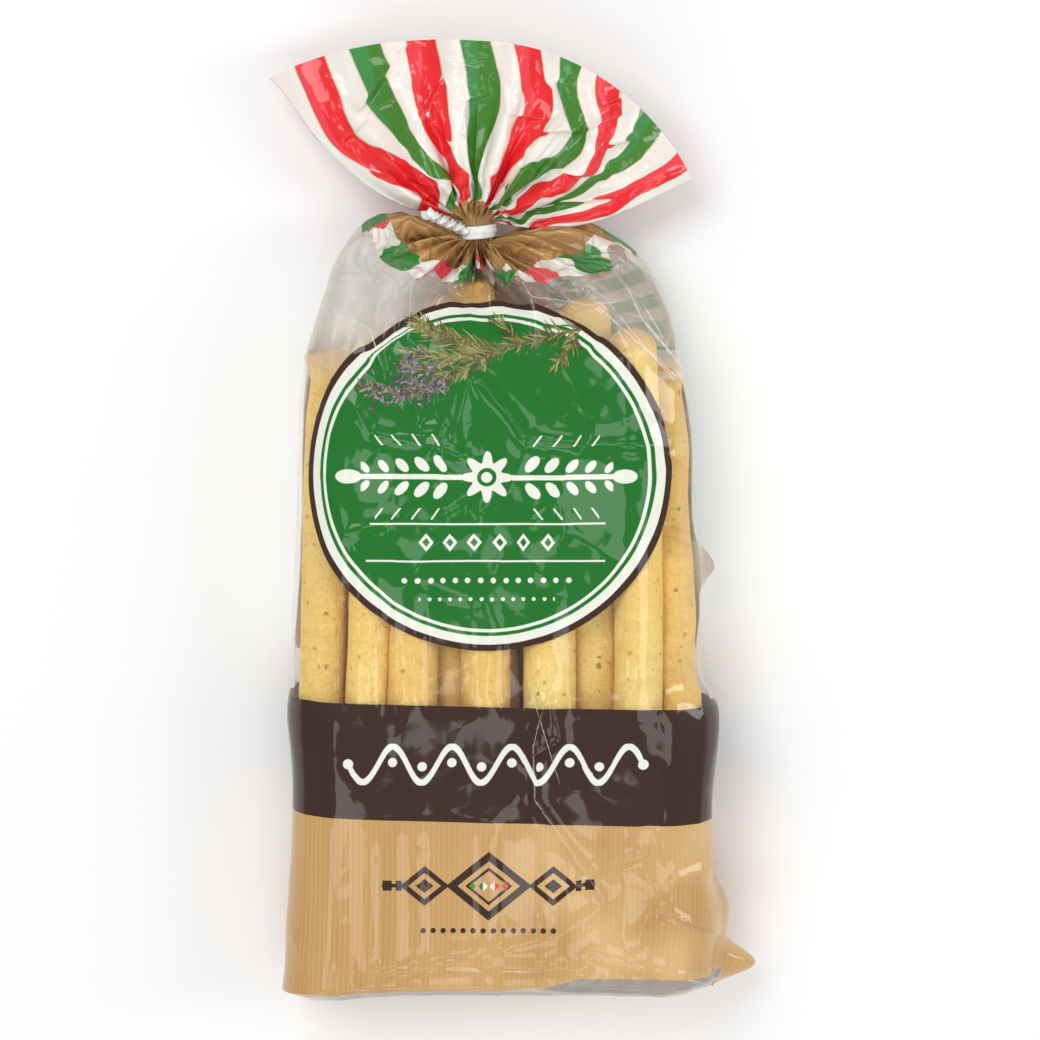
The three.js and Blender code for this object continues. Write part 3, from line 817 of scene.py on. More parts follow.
# %% Lay lines on the creases
SCATTERED, HIGHEST = 40, 76
lines = [(line, 0.1 + 0.08 * rise) for line, rise, width in LONG_CREASES if min(y for _, y in line) > 30]
lines += [
    (((33, 69), (37, 60), (47, 48), (56, 35)), 0.42), (((24, 64), (33, 56), (46, 44)), 0.26),
    (((9.7, -49.5), (6.3, -62.5), (6.8, -78.4), (26.3, -107)), 0.1),
    (((5, -44), (9.7, -60), (14, -74)), 0.12)]
for _ in range(SCATTERED):
    x, y = rng.uniform(12, 47) * rng.choice((-1, 1)) - 2, rng.uniform(46, 69)
    bearing = math.atan2(TIE_Y - y, NECK_X - x) + rng.normal(0, 0.35)
    long = rng.uniform(3, 11)
    middle = (x + 0.5 * long * math.cos(bearing + 0.15), y + 0.5 * long * math.sin(bearing + 0.15))
    end = (x + long * math.cos(bearing), y + long * math.sin(bearing))
    if math.hypot(x - LABEL_CENTRE[0], y - LABEL_CENTRE[1]) > LABEL_RADIUS + 1.5:
        lines.append((((x, y), middle, end), rng.uniform(0.05, 0.13)))
lines = [line for line in lines if max(y for _, y in line[0]) <= HIGHEST]
line_points, line_faces = [], []
for line, half_width in lines:
    placed = creased_line(line, half_width)
    line_faces += strip_faces(len(placed) // 2, sum(map(len, line_points)))
    line_points.append(placed)
whitened_and_highlit_creases = make_object("whitened_and_highlit_creases", np.concatenate(line_points), line_faces)
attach(whitened_and_highlit_creases, "root")
say_size(whitened_and_highlit_creases)
print(len(lines), "crease lines")

# %% [markdown]
# ## The head
#
# Above the tie the same tube spreads into a fan. Its two layers stay close together and are joined at both
# sides, and its mouth is open. Pleats start sharp at the tie and flatten towards the mouth, and the bend
# outwards breaks the film into facets. Where one facet folds over the next, a part of the print is hidden, so
# the stripes jump sideways there.

# %% Fan sizes
FAN_CENTRE, FAN_TOP, FAN_RIGHT, FAN_LEFT = (NECK_X, 82.4), 85, 14.5, 143
FAN_RADIUS, RIGHT_TIP, LEFT_TIP, FLARE = 55.6, 8.5, 20, 0.82
BEND_RIGHT, BEND_LEFT, BEND_RADIUS, BEND_RIGHT_MORE, BEND_LEFT_MORE = -14, 173, 20, 14, 25
HEAD_RISE, TIP_DROOP, MOUTH_GAP = 9, 13, 3.2
HEAD_PLEATS = ((6.5, 0.55, 0.1), (3.3, 0.35, 0.55), (10.4, 0.3, 0.3))  # how many, share and phase
HEAD_PLEAT_DEPTH, MOUTH_FLATTENING = 2.6, 0.6


def towards_corners(angle, at_right, at_left, right, left):
    away = angle - FAN_TOP
    to_right, to_left = away / (right - FAN_TOP), away / (left - FAN_TOP)
    return np.where(away < 0, at_right * to_right**2, at_left * to_left**2)


def head_point(t, turn):
    """t runs from 0 at the tie to 1 at the mouth."""
    side, a = layer_of(turn)
    start = neck_point(HEAD_Y, turn)
    end, bend = mix(FAN_RIGHT, FAN_LEFT, a), mix(BEND_RIGHT, BEND_LEFT, a)
    reach = FAN_RADIUS + towards_corners(end, RIGHT_TIP, LEFT_TIP, FAN_RIGHT, FAN_LEFT)
    lean = BEND_RADIUS + towards_corners(bend, BEND_RIGHT_MORE, BEND_LEFT_MORE, BEND_RIGHT, BEND_LEFT)
    plan = []
    for axis, (centre, neck, wave) in enumerate(zip(FAN_CENTRE, (NECK_X, HEAD_Y), (np.cos, np.sin))):
        ray, bent = reach * wave(np.radians(end)), neck + lean * wave(np.radians(bend))
        plan.append(bezier(t, start[..., axis], bent, centre + FLARE * ray, centre + ray))
    off = 2 * a - 1
    middle = NECK_Z + t * (HEAD_RISE - TIP_DROOP * off * off * t)
    mouth = MOUTH_GAP * np.sqrt(np.clip(np.sin(math.pi * a), 0, None))
    gap = side * mix(np.abs(start[..., 2] - NECK_Z), mouth, smooth(t, 0, 0.5))
    depth = HEAD_PLEAT_DEPTH * smooth(t, 0, 0.2) * (1 - MOUTH_FLATTENING * t)
    z = middle + gap + depth * waves(a, HEAD_PLEATS, 0.8)
    return np.stack(np.broadcast_arrays(plan[0], plan[1], z), axis=-1)


# %% The head's main creases and folds
HEAD_CREASES = (  # a line in the plan, rise, width
    (((-48, 113), (-34, 104), (-20, 97)), 1.6, 2.2),
    (((-42, 118), (-34.6, 121.6)), 1.0, 2.0),
    (((-27, 113), (-22.4, 121), (-20, 117), (-13, 99)), 1.4, 1.8),
    (((-18, 132.5), (-7.7, 131.6)), 0.6, 1.5),
    (((-12, 124), (-15, 112), (-9, 104)), 1.2, 2.0),
    (((6.6, 117), (-7.7, 100)), 1.6, 1.8),
    (((8, 132.5), (12.2, 121)), 1.0, 1.8),
    (((14.2, 114), (2, 98)), 1.4, 2.0),
    (((22, 115), (25, 107.8), (28.8, 102.5), (8, 95)), 1.4, 2.0),
    (((46, 108), (33.5, 97.2), (14, 91)), 1.4, 2.2),
)
HEAD_FOLDS = (  # where a part of the print is tucked away: from, to, and how much of it
    ((-44, 118.0), (-34.5, 130.5), 5.0),
    ((-50, 108.5), (-41.5, 116), 2.4),
    ((-24.5, 141.0), (-32, 134.5), 2.2),
    ((-26, 118), (-17, 110), -2.4),
    ((-1.5, 117.8), (8.5, 116.0), 3.0),
    ((9.5, 112.5), (20, 113.5), -4.0),
    ((12.5, 126), (17.5, 112), 3.5),
    ((25, 119.8), (31.5, 122.2), -3.0),
    ((22, 112.5), (31, 117), 4.0),
    ((28, 109), (36, 111), -2.6),
    ((-14, 121), (-6, 123), 1.6),
    ((-30, 104), (-16, 97), 3.0),
    ((6, 104), (-2, 97), 2.8),
    ((-40, 101), (-24, 98), -3.0),
    ((12, 101), (26, 101), 3.4),
    ((8, 92), (30, 93.5), -3.0),
    ((-20, 127), (-25, 117), -2.5),
)

# %% Where the stripes run
STRIPE_PICKS = (  # points on the middle of each stripe of the print, from the mouth to the tie
    ((310, 62), (324, 101), (338, 136), (350, 154), (375, 168), (402, 180), (435, 193)),
    ((365, 49), (380, 90), (390, 112), (398, 131), (415, 153), (435, 172), (455, 200)),
    ((420, 39), (427, 67), (432, 105), (437, 128), (443, 142), (457, 171), (467, 202)),
    ((473, 39), (482, 75), (484, 102), (483, 132), (476, 151), (477, 170), (478, 205)),
    ((524, 45), (532, 77), (539, 112), (537, 126), (525, 138), (509, 162), (493, 190)),
    ((572, 58), (568, 80), (568, 105), (576, 128), (577, 148), (562, 162), (532, 182)),
    ((609, 88), (604, 108), (611, 125), (606, 150), (590, 172), (560, 197), (525, 212)),
    ((650, 125), (637, 143), (628, 160), (610, 174), (590, 190), (565, 208), (530, 220)),
    ((684, 166), (670, 180), (648, 192), (620, 208), (590, 219), (560, 223), (535, 228)),
)
STRIPE_SHARE = 0.55  # how much of each pitch is inked
BEYOND = (  # points past both sides of the print, each with its place in the order of stripes
    ((272, 78), -0.45), ((300, 115), -0.3), ((318, 148), -0.25), ((345, 172), -0.2),
    ((668, 192), 8.8), ((640, 204), 8.8), ((600, 225), 8.75))
PICK_STEPS = (MM_PER_PIXEL, round(MM_PER_PIXEL / math.cos(CAMERA_TILT), 4))
PICK_SHIFT = (2.5, 0.5)


def picked(right, down):
    """The place in the plan, in millimetres, of a point picked in pixels of the camera's frame."""
    return (round((right - PICTURE / 2) * PICK_STEPS[0] + PICK_SHIFT[0], 1),
            round((PICTURE / 2 - down) * PICK_STEPS[1] + PICK_SHIFT[1], 1))


def through(known, x, y, give=0.4):
    """A smooth surface through known (x, y, value), bent like a thin plate, read at x, y."""
    def bending(dx, dy):
        square = (dx * dx + dy * dy) / 100
        return square * np.log(square + 1e-9)

    px, py, values = np.asarray(known).T
    count = len(px)
    plane = np.stack([np.ones(count), px, py], axis=1)
    system = np.zeros((count + 3, count + 3))
    system[:count, :count] = bending(px[:, None] - px, py[:, None] - py) + give * np.eye(count)
    system[:count, count:], system[count:, :count] = plane, plane.T
    weights = np.linalg.solve(system, np.concatenate([values, np.zeros(3)]))
    total = weights[count] + weights[count + 1] * x + weights[count + 2] * y
    for k in range(count):
        total = total + weights[k] * bending(x - px[k], y - py[k])
    return total


stripe_points = [
    (*picked(*point), number + STRIPE_SHARE / 2)
    for number, line in enumerate(STRIPE_PICKS) for point in line]
stripe_points += [(*picked(*point), place) for point, place in BEYOND]
print(len(stripe_points), "places on the stripes")

# %% Make the head
HEAD_ROWS, HEAD_FRONT, HEAD_BACK = 150, 300, 150
HEAD_FILM = 58  # the film's own length from the tie to the mouth
LAYER_WIDTH = layer_width(float(SHOULDER_Y))
STRIPE_PITCH = 16.2
head_turns = turns_round(HEAD_FRONT, HEAD_BACK)
head_steps = np.linspace(0, 1, HEAD_ROWS)
head_form = np.array([neck_point(y, head_turns) for y in np.linspace(TIE_Y, HEAD_Y, 4)[:-1]]
                     + [head_point(t, head_turns) for t in head_steps])
head_t = np.concatenate([[0, 0, 0], head_steps])[:, None] + 0 * head_turns[None, :]
head_v = np.concatenate([np.linspace(0, 3, 4)[:-1], 3 + HEAD_FILM * head_steps])[:, None] + 0 * head_t
head_side, head_a = layer_of(head_turns)
head_u = (0.5 - head_a)[None, :] * LAYER_WIDTH * mix(0.55, 1, smooth(head_t, 0.1, 0.7))
head_plan = head_form[:, :, 0], head_form[:, :, 1]
print("head grid", head_form.shape[:2])

# %% Crumple the head
BIG_DEPTH, SMALL_DEPTH, SHARP_DEPTH, HALFWAY_DEPTH = 2.6, 0.6, 1.5, 1.9
BACK_APART = 200  # the back layer's facets come from another stretch of the pattern
facet_v = head_v + BACK_APART * (head_side < 0)
head_big, _ = facets(head_u, facet_v, 19, seed=21)
head_small, _ = facets(head_u, facet_v, 7.5, seed=22)
spread = smooth(head_t, 0.06, 0.3)
broken = spread * (1 - 0.55 * smooth(head_t, 0.6, 1.0))
close = smooth(head_t, 0.0, 0.06) * (1 - smooth(head_t, 0.15, 0.45))
bend = 0.015 * head_t * np.sin(2 * math.pi * (2.3 * head_turns + 0.1 + head_t))
sharp_pleats = folded(head_turns + bend, 43, 26)
broad_pleats = folded(head_turns - bend, 44, 13)
halfway = smooth(head_t, 0.04, 0.2) * (1 - smooth(head_t, 0.4, 0.75))
head_lift = BIG_DEPTH * broken * head_big + SMALL_DEPTH * spread * head_small
head_lift = head_lift + SHARP_DEPTH * close * sharp_pleats + HALFWAY_DEPTH * halfway * broad_pleats
for line, rise, width in HEAD_CREASES:
    head_lift = head_lift + np.where(head_side > 0, crease(*head_plan, line, rise, width), 0)
head_lift = head_lift + np.where(head_side > 0, flap(*head_plan, HEAD_FOLDS), 0)
at_edge = 1 - np.abs(2 * head_a - 1)[None, :] ** 8
head_lift = head_lift * mix(0.35, 1, at_edge)
head_points = head_form + outward(head_form) * head_lift[:, :, None] * np.array((0.5, 0.5, 1.0))
head_points[:, -1] = head_points[:, 0]
head_points = head_points + SHIFT
print("head crumples reach", round(float(np.abs(head_lift).max()), 1), "mm")

# %% Print the head's stripes
FIRST_ORDER, LAST_ORDER = -0.42, 8.97  # where the print ends at the two sides
move_x, move_y = tuck(*head_plan, HEAD_FOLDS, 8.0, 0.25)
order = through(stripe_points, head_plan[0] + move_x, head_plan[1] + move_y)
edges = [order[:, [int(np.argmin(np.abs(head_turns - turn)))]] for turn in (0.5, -0.5)]
order = np.where(head_side > 0, order, mix(*edges, head_a[None, :]))
even_order = mix(9.0, -0.4, head_a)[None, :]
order = np.clip(mix(even_order, order, smooth(head_t, 0.03, 0.12)), FIRST_ORDER, LAST_ORDER)
film_head = film_mesh("film_head", head_points, {"film": (order * STRIPE_PITCH, head_v)})
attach(film_head, "root")
say_size(film_head)

# %% [markdown]
# ## The breadsticks
#
# A breadstick is a strip of dough pulled by hand, so it is round but never quite straight, its thickness
# wanders, and its skin has lumps. Its ends are rounded where the dough was pinched, or rough where it broke.
# Some two dozen lie in three layers: the ones in front hold up the film, and the next layer shows in the gaps
# between them and above them. Each one is pushed down wherever the film leaves less room.

# %% Which breadsticks
FOOT_Y = BASE_Y + 4
FRONT_TOPS = (49.5, 54.5, 59, 62, 62, 57, 47)  # where each front stick ends, from left to right
FRONT_LEANS = (1.5, 2.5, 0, -3, -1, -2, -6)  # and how far its upper end leans to the right
INNER_STICKS = (  # place across, height, radius, upper end, lean
    (-47, 21, 6.8, 51, 0), (-31.5, 21, 7.0, 58, 0), (-17, 25, 7.0, 66, -1.5), (-3, 22, 6.8, 71, -9),
    (11, 21, 7.0, 60, 2), (24.8, 26.5, 7.2, 65.5, -4), (39, 21, 6.9, 52, -8), (49, 21, 6.0, 30, -5),
    (-53.5, 8, 6.6, 44, 3), (-39, 8, 6.9, 52, 0), (-24.5, 8, 6.9, 55, -3), (-10, 8, 7.0, 61, 3),
    (4.5, 8, 6.8, 57, 0), (19, 8, 7.0, 62, -3), (33, 8, 6.9, 46, -2), (46.5, 8, 6.5, 33, -4))
CLEARANCE = 0.45

# %% How much room the film leaves
CELL, AMPLE = 2.0, 60.0
room_low, room_cells = np.array((-90.0, -150.0)), (90, 140)
room = np.full(room_cells, AMPLE)
upper = film_points[:, film_side > 0].reshape(-1, 3)
cells = ((upper[:, :2] - room_low) / CELL).astype(int)
np.minimum.at(room, (cells[:, 0], cells[:, 1]), upper[:, 2])
print("the film is up to", round(float(room[room < AMPLE].max()), 1), "mm high")


def room_above(x, y):
    """The film's height over these places, from the cells' centres."""
    i = np.clip(((x - room_low[0]) / CELL).astype(int), 0, room.shape[0] - 1)
    j = np.clip(((y - room_low[1]) / CELL).astype(int), 0, room.shape[1] - 1)
    return room[i, j]


# %% Lumps


def lumps(s, phi, rng, reach, count=14):
    """Soft unevenness over a rod: s is the distance along it, phi the angle round it."""
    total = 0
    for _ in range(count):
        turns, pitch = rng.integers(0, 4), reach * rng.uniform(0.5, 2.0)
        total = total + np.cos(2 * math.pi * (s / pitch + rng.uniform()) + turns * phi) * pitch / reach
    return total / (count * 0.8)

# %% One breadstick
EVEN_SHARE = 0.65  # of the spacing of the rings; the rest crowds them at both ends
WALL_GAP, TIP_LENGTH = 1.1, 9
BROKEN_SHARE, BROKEN_TIP, ROUND_TIP = 0.35, 2.2, 6.5
LEVELLING = 5  # rings to each side over which a stick's height is evened out


def breadstick(x, z, radius, top, lean, seed, rings, around):
    """The points of one stick: rings along it, columns round it, in the frame's millimetres."""
    rng = np.random.default_rng(seed)
    foot = FOOT_Y + rng.uniform(0, 5)
    length = top - foot
    even = np.linspace(0, 1, rings)
    way = (1 - np.cos(math.pi * even)) / 2 * (1 - EVEN_SHARE) + even * EVEN_SHARE
    s, phi = (way * length)[:, None], np.linspace(0, 2 * math.pi, around, endpoint=False)[None, :]
    middle_x = x + lean * way**2 + 0.5 * lumps(s[:, 0], 0, rng, 90, 4)
    middle_y = foot + s[:, 0]
    from_tip = np.minimum(s[:, 0], length - s[:, 0])
    wall = radius * (0.5 + 0.5 * np.minimum(1, from_tip / TIP_LENGTH)) + WALL_GAP
    left, right = (along(np.minimum(middle_y, SHOULDER_Y), column) for column in (1, 2))
    middle_x = np.clip(middle_x, left + wall, right - wall)
    broken = rng.uniform() < BROKEN_SHARE
    tip = BROKEN_TIP if broken else ROUND_TIP
    close = np.clip(np.minimum(length - s, 1.5 * s) / tip, 0, 1)
    cap = np.sqrt(np.clip(1 - (1 - close) ** 2, 0, 1))
    own = radius * (1 + 0.035 * lumps(s, phi, rng, 46) + 0.016 * lumps(s, phi, rng, 11)) * cap
    level = np.full(rings, float(z))
    for angle in np.linspace(0.15, math.pi - 0.15, 9):
        over = room_above(middle_x + SHIFT[0] + radius * math.cos(angle), middle_y + SHIFT[1])
        level = np.minimum(level, over - CLEARANCE - radius * 1.02 * math.sin(angle) * cap[:, 0])
    for evened, reach in ((np.min, LEVELLING - 2), (np.mean, LEVELLING)):
        padded = np.pad(level, reach, mode="edge")
        level = evened([padded[k:k + rings] for k in range(2 * reach + 1)], axis=0)
    level = np.maximum(level, radius * 1.06 + 0.7)
    ragged = 1.6 * lumps(3 * phi, 5 * phi, rng, 9, 6) * (1 - cap) * broken
    points = np.stack([middle_x[:, None] + own * np.cos(phi), middle_y[:, None] + ragged,
                       level[:, None] + own * np.sin(phi)], axis=-1)
    return points + SHIFT


def bundle(name, sticks, rings, around):
    """One piece that holds several breadsticks, each with its own tone and its way along, for the crust."""
    grids, tones = [], []
    for number, (x, z, radius, top, lean) in enumerate(sticks):
        grids.append(breadstick(x, z, radius, top, lean, 100 * len(sticks) + number, rings, around))
        tones.append(np.full(rings * around, np.random.default_rng(number + 7).uniform()))
    made = make_object(name, *joined_tubes(grids))
    way = np.repeat(np.linspace(0, 1, rings), around)
    add_number(made, "tone", np.concatenate(tones))
    add_number(made, "way", np.tile(np.minimum(way, 1 - way), len(sticks)))
    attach(made, "root")
    print(len(sticks), "sticks")
    say_size(made)
    return made


# %% Lay them in the bag
front_sticks = [(x, BODY_TOP, radius - 0.25, top, lean)
                for (x, radius), top, lean in zip(FRONT_STICKS, FRONT_TOPS, FRONT_LEANS)]
breadsticks_front = bundle("breadsticks_front", front_sticks, 190, 44)
breadsticks_inner = bundle("breadsticks_inner", INNER_STICKS, 120, 28)

# %% [markdown]
# ## The twist tie
#
# A white plastic ribbon with a wire in its middle is wound round the gathered neck and its two ends are
# twisted together. Each is one section, thick over the wire and thin at its edges, carried along a path.

# %% Ribbon along a path
RIBBON_HALF, RIBBON_EDGE, WIRE_BULGE = 2.0, 0.13, 0.42


def ribbon(path, flat):
    """Points of a ribbon along a path; flat is the direction across it at each step."""
    path, flat = np.asarray(path), np.asarray(flat)
    ahead = np.gradient(path, axis=0)
    ahead /= np.linalg.norm(ahead, axis=1, keepdims=True)
    flat = flat - (flat * ahead).sum(1, keepdims=True) * ahead
    flat /= np.linalg.norm(flat, axis=1, keepdims=True)
    proud = np.cross(ahead, flat)
    across = np.concatenate([np.linspace(-1, 1, 11), np.linspace(1, -1, 11)[1:-1]])
    up = RIBBON_EDGE + (WIRE_BULGE - RIBBON_EDGE) * np.exp(-((across / 0.28) ** 2))
    up[11:] *= -1
    return (path[:, None, :] + RIBBON_HALF * across[None, :, None] * flat[:, None, :]
            + up[None, :, None] * proud[:, None, :])


# %% Loop and tail
LOOP_STEPS, LOOP_START, LOOP_SWEEP, LOOP_GAP, LOOP_GROWTH = 110, 150, 395, 0.62, 0.25
TAIL_START, TAIL_END = np.array((-13.4, 84.4, 24.2)), np.array((-23.6, 89.2, 28.6))
TAIL_STEPS, TAIL_TURNS = 90, 2.3

loop_way = np.linspace(0, 1, LOOP_STEPS)
loop_turn = np.radians(LOOP_START + LOOP_SWEEP * loop_way)
loop_radius = NECK_RADIUS + LOOP_GAP + LOOP_GROWTH * loop_way
loop_path = np.stack([NECK_X + loop_radius * np.cos(loop_turn), TIE_Y + 0.5 * np.cos(loop_turn + 0.6),
                      NECK_Z + loop_radius * np.sin(loop_turn)], axis=-1)
tie_grids = [ribbon(loop_path, np.tile((0.0, 1.0, 0.0), (LOOP_STEPS, 1)))]
tail_axis = (TAIL_END - TAIL_START) / np.linalg.norm(TAIL_END - TAIL_START)
tail_side = np.cross(tail_axis, (0, 0, 1))
tail_side /= np.linalg.norm(tail_side)
tail_up = np.cross(tail_side, tail_axis)
way = np.linspace(0, 1, TAIL_STEPS)[:, None]
for phase in (0, math.pi):
    turned = 2 * math.pi * TAIL_TURNS * way + phase
    spoke = np.cos(turned) * tail_side + np.sin(turned) * tail_up
    path = TAIL_START + way * (TAIL_END - TAIL_START) + spoke * (0.55 + 1.2 * smooth(way, 0.8, 1.0))
    tie_grids.append(ribbon(path, np.cross(np.tile(tail_axis, (TAIL_STEPS, 1)), spoke) + 0.5 * tail_axis))
tie_points, tie_faces = joined_tubes(tie_grids, capped=True)
twist_tie = make_object("twist_tie", tie_points + SHIFT, tie_faces)
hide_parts("tie")
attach(twist_tie, "root")
say_size(twist_tie)

# %% [markdown]
# ## Drawing with numbers
#
# The film's print is flat colour with crisp edges, and the clearest way to draw it is to say in millimetres
# where each shape is. A `Field` is a number at every point of a surface. Adding, multiplying and comparing
# fields builds the Math nodes, so a ring is simply the distance from a centre, compared with a radius.

# %% Fields


class Field:
    """A number that varies over a surface, kept as a socket of a node tree."""

    def __init__(self, tree, source):
        self.tree, self.source = tree, source

    def math(self, kind, *others, clamp=False):
        node = self.tree.nodes.new("ShaderNodeMath")
        node.operation, node.use_clamp = kind, clamp
        for socket, value in zip(node.inputs, (self, *others)):
            plug(self.tree, value, socket)
        return Field(self.tree, node.outputs[0])

    def __add__(self, other):
        return self.math("ADD", other)

    def __sub__(self, other):
        return self.math("SUBTRACT", other)

    def __rsub__(self, other):
        return -self + other

    def __mul__(self, other):
        return self.math("MULTIPLY", other)

    def __truediv__(self, other):
        return self.math("DIVIDE", other)

    def __pow__(self, other):
        return self.math("POWER", other)

    def __neg__(self):
        return self.math("MULTIPLY", -1)

    def __abs__(self):
        return self.math("ABSOLUTE")

    __radd__, __rmul__ = __add__, __mul__

    def wave(self, pitch, phase=0.0):
        return (self * (2 * math.pi / pitch) + phase).math("SINE")

    def part(self, pitch):
        """How far through its cell each point is, from -0.5 to 0.5, in cells of this pitch."""
        return (self / pitch).math("FRACT") - 0.5

    def ramp(self, slope=1):
        """0 where the field is negative, and up to 1 at this slope."""
        return self.math("MULTIPLY", slope, clamp=True)

    def below(self, edge, soft=0.12):
        """1 where the field is under the edge, with a soft step."""
        return (-(self - edge) / soft + 0.5).ramp()

    def above(self, edge, soft=0.12):
        return ((self - edge) / soft + 0.5).ramp()

    def between(self, low, high, soft=0.12):
        return self.above(low, soft) * self.below(high, soft)

    def either(self, other):
        return self.math("MAXIMUM", other)

# %% Sockets, distances and colours


def plug(tree, value, socket):
    """Feed a socket with a field, a socket or a constant."""
    if isinstance(value, Field):
        value = value.source
    if isinstance(value, bpy.types.NodeSocket):
        tree.links.new(value, socket)
    else:
        socket.default_value = value


def distance(x, y):
    return (x * x + y * y) ** 0.5


def tint(red, green, blue):
    """A printed colour from its 0 to 255 screen values, as the linear light that Blender works in."""
    shown = (red / 255, green / 255, blue / 255)
    return (*(c / 12.92 if c <= 0.04045 else ((c + 0.055) / 1.055) ** 2.4 for c in shown), 1.0)


# %% Small node helpers


def add_node(tree, kind, settings=None, **inputs):
    """A node with its settings, its inputs named with _ for spaces."""
    node = tree.nodes.new("ShaderNode" + kind)
    for name, value in (settings or {}).items():
        setattr(node, name, value)
    for name, value in inputs.items():
        plug(tree, value, node.inputs[name.replace("_", " ")])
    return node


def surface_map(tree, name):
    """The two numbers of a texture map as fields."""
    split = add_node(tree, "SeparateXYZ", Vector=add_node(tree, "UVMap", {"uv_map": name}).outputs["UV"])
    return Field(tree, split.outputs["X"]), Field(tree, split.outputs["Y"])


def mesh_number(tree, name):
    """A number that the mesh carries."""
    return Field(tree, add_node(tree, "Attribute", {"attribute_name": name}).outputs["Fac"])


def place_in_mm(tree):
    """Where each point of the piece is."""
    metres = add_node(tree, "TexCoord").outputs["Object"]
    return add_node(tree, "VectorMath", {"operation": "SCALE"}, Vector=metres, Scale=1000.0).outputs[0]


def seen_from_inside(tree):
    """1 on the back of a face."""
    return Field(tree, add_node(tree, "NewGeometry").outputs["Backfacing"])

# %% Patterns and mixing


def bumped(tree, height, strength, depth):
    """The normal that a height gives, with its depth in millimetres."""
    return add_node(tree, "Bump", Strength=strength, Distance=depth / 1000, Height=height).outputs["Normal"]


def vector(tree, x, y, z=0.0):
    return add_node(tree, "CombineXYZ", X=x, Y=y, Z=z).outputs["Vector"]


def cloud(tree, place, size, detail=2.0, roughness=0.5):
    """Soft noise about 0.5, whose lumps are about size across."""
    node = add_node(tree, "TexNoise", Vector=place, Scale=1 / size, Detail=detail, Roughness=roughness)
    return Field(tree, node.outputs["Fac"])


def cell_edge(tree, place, size):
    """How far the nearest edge is in a pattern of irregular cells, in cells."""
    node = add_node(tree, "TexVoronoi", {"feature": "DISTANCE_TO_EDGE"}, Vector=place, Scale=1 / size)
    return Field(tree, node.outputs["Distance"])


def blend(tree, base, top, mask):
    """The top colour laid over the base colour through a mask."""
    node = tree.nodes.new("ShaderNodeMix")
    node.data_type = "RGBA"
    for index, value in ((0, mask), (6, base), (7, top)):
        plug(tree, value, node.inputs[index])
    return node.outputs[2]

# %% Groups and materials


def new_group(name, inputs, outputs):
    """A node group, its inputs as fields by name, and its output node."""
    tree = bpy.data.node_groups.new(name, "ShaderNodeTree")
    kinds = {"float": "NodeSocketFloat", "color": "NodeSocketColor", "vector": "NodeSocketVector"}
    for title, kind in inputs.items():
        tree.interface.new_socket(title, in_out="INPUT", socket_type=kinds[kind])
    for title, kind in outputs.items():
        tree.interface.new_socket(title, in_out="OUTPUT", socket_type=kinds[kind])
    given = tree.nodes.new("NodeGroupInput")
    result = tree.nodes.new("NodeGroupOutput")
    return tree, {title: Field(tree, given.outputs[title]) for title in inputs}, result


def use_group(tree, group, **inputs):
    node = tree.nodes.new("ShaderNodeGroup")
    node.node_tree = group
    for name, value in inputs.items():
        plug(tree, value, node.inputs[name.replace("_", " ")])
    return node


def new_material(name, piece):
    """An empty material on a piece, its tree and its output node."""
    material = bpy.data.materials.new(name)
    material.use_nodes = True
    tree = material.node_tree
    tree.nodes.clear()
    piece.data.materials.append(material)
    return tree, tree.nodes.new("ShaderNodeOutputMaterial")


def dress(tree, output, shader):
    """Put the finished shader on the surface."""
    plug(tree, shader.outputs[0], output.inputs["Surface"])


# %% [markdown]
# ## Effects that several films share
#
# Four effects are drawn once, each as a node group. *Tricolour stripes* are the baker's red and green on
# white, with a thin cream margin where the two inks don't quite meet. *Ribbed kraft* imitates brown paper.
# *Fine crinkle* is the small-scale unevenness of handled film, for the bump, and *gathered folds* are the
# sharp narrow folds that run to the tie, with a mask along their creases where shade is painted.

# %% Tricolour stripes
WHITE, CREAM, RED, GREEN = tint(240, 234, 226), tint(206, 198, 170), tint(240, 10, 42), tint(4, 132, 36)
stripes, given, result = new_group("tricolour stripes", {"Across": "float"}, {"Colour": "color"})
order = given["Across"] / STRIPE_PITCH
within = order.math("FRACT") * STRIPE_PITCH
red_turn = (order * 0.5).math("FRACT").below(0.5, 0.001)
inked = within.between(0.0, STRIPE_SHARE * STRIPE_PITCH)
margin = within.between(0.0, STRIPE_SHARE * STRIPE_PITCH + 0.35).either(within.above(STRIPE_PITCH - 0.35))
colour = blend(stripes, WHITE, CREAM, margin)
colour = blend(stripes, colour, blend(stripes, GREEN, RED, red_turn), inked)
plug(stripes, colour, result.inputs["Colour"])

# %% Ribbed kraft
KRAFT, KRAFT_DEEP, KRAFT_PALE = tint(196, 153, 94), tint(178, 134, 74), tint(212, 174, 116)
# KRAFT_SHADE is painted shade for the pleat valleys and creases of the gathered neck
NECK_KRAFT, KRAFT_SHADE = tint(194, 150, 90), tint(112, 74, 34)
RIB_PITCH = 1.5

kraft, given, result = new_group("ribbed kraft", {"Across": "float", "Along": "float"}, {"Colour": "color"})
across, along_film = given["Across"], given["Along"]
wander = cloud(kraft, vector(kraft, across, along_film * 0.3), 14, 0) - 0.5
broad = cloud(kraft, vector(kraft, across, along_film * 0.05), 7, 1)
grain = cloud(kraft, vector(kraft, across * 3, along_film), 1.2, 1)
rib = (across + wander * 0.5).wave(RIB_PITCH) * 0.5 + 0.5
colour = blend(kraft, KRAFT, KRAFT_PALE, (rib * 0.75) * (broad * 0.6 + 0.5))
colour = blend(kraft, colour, KRAFT_DEEP, (broad.above(0.5, 0.35) * 0.35 + grain.above(0.5, 0.4) * 0.25))
plug(kraft, colour, result.inputs["Colour"])

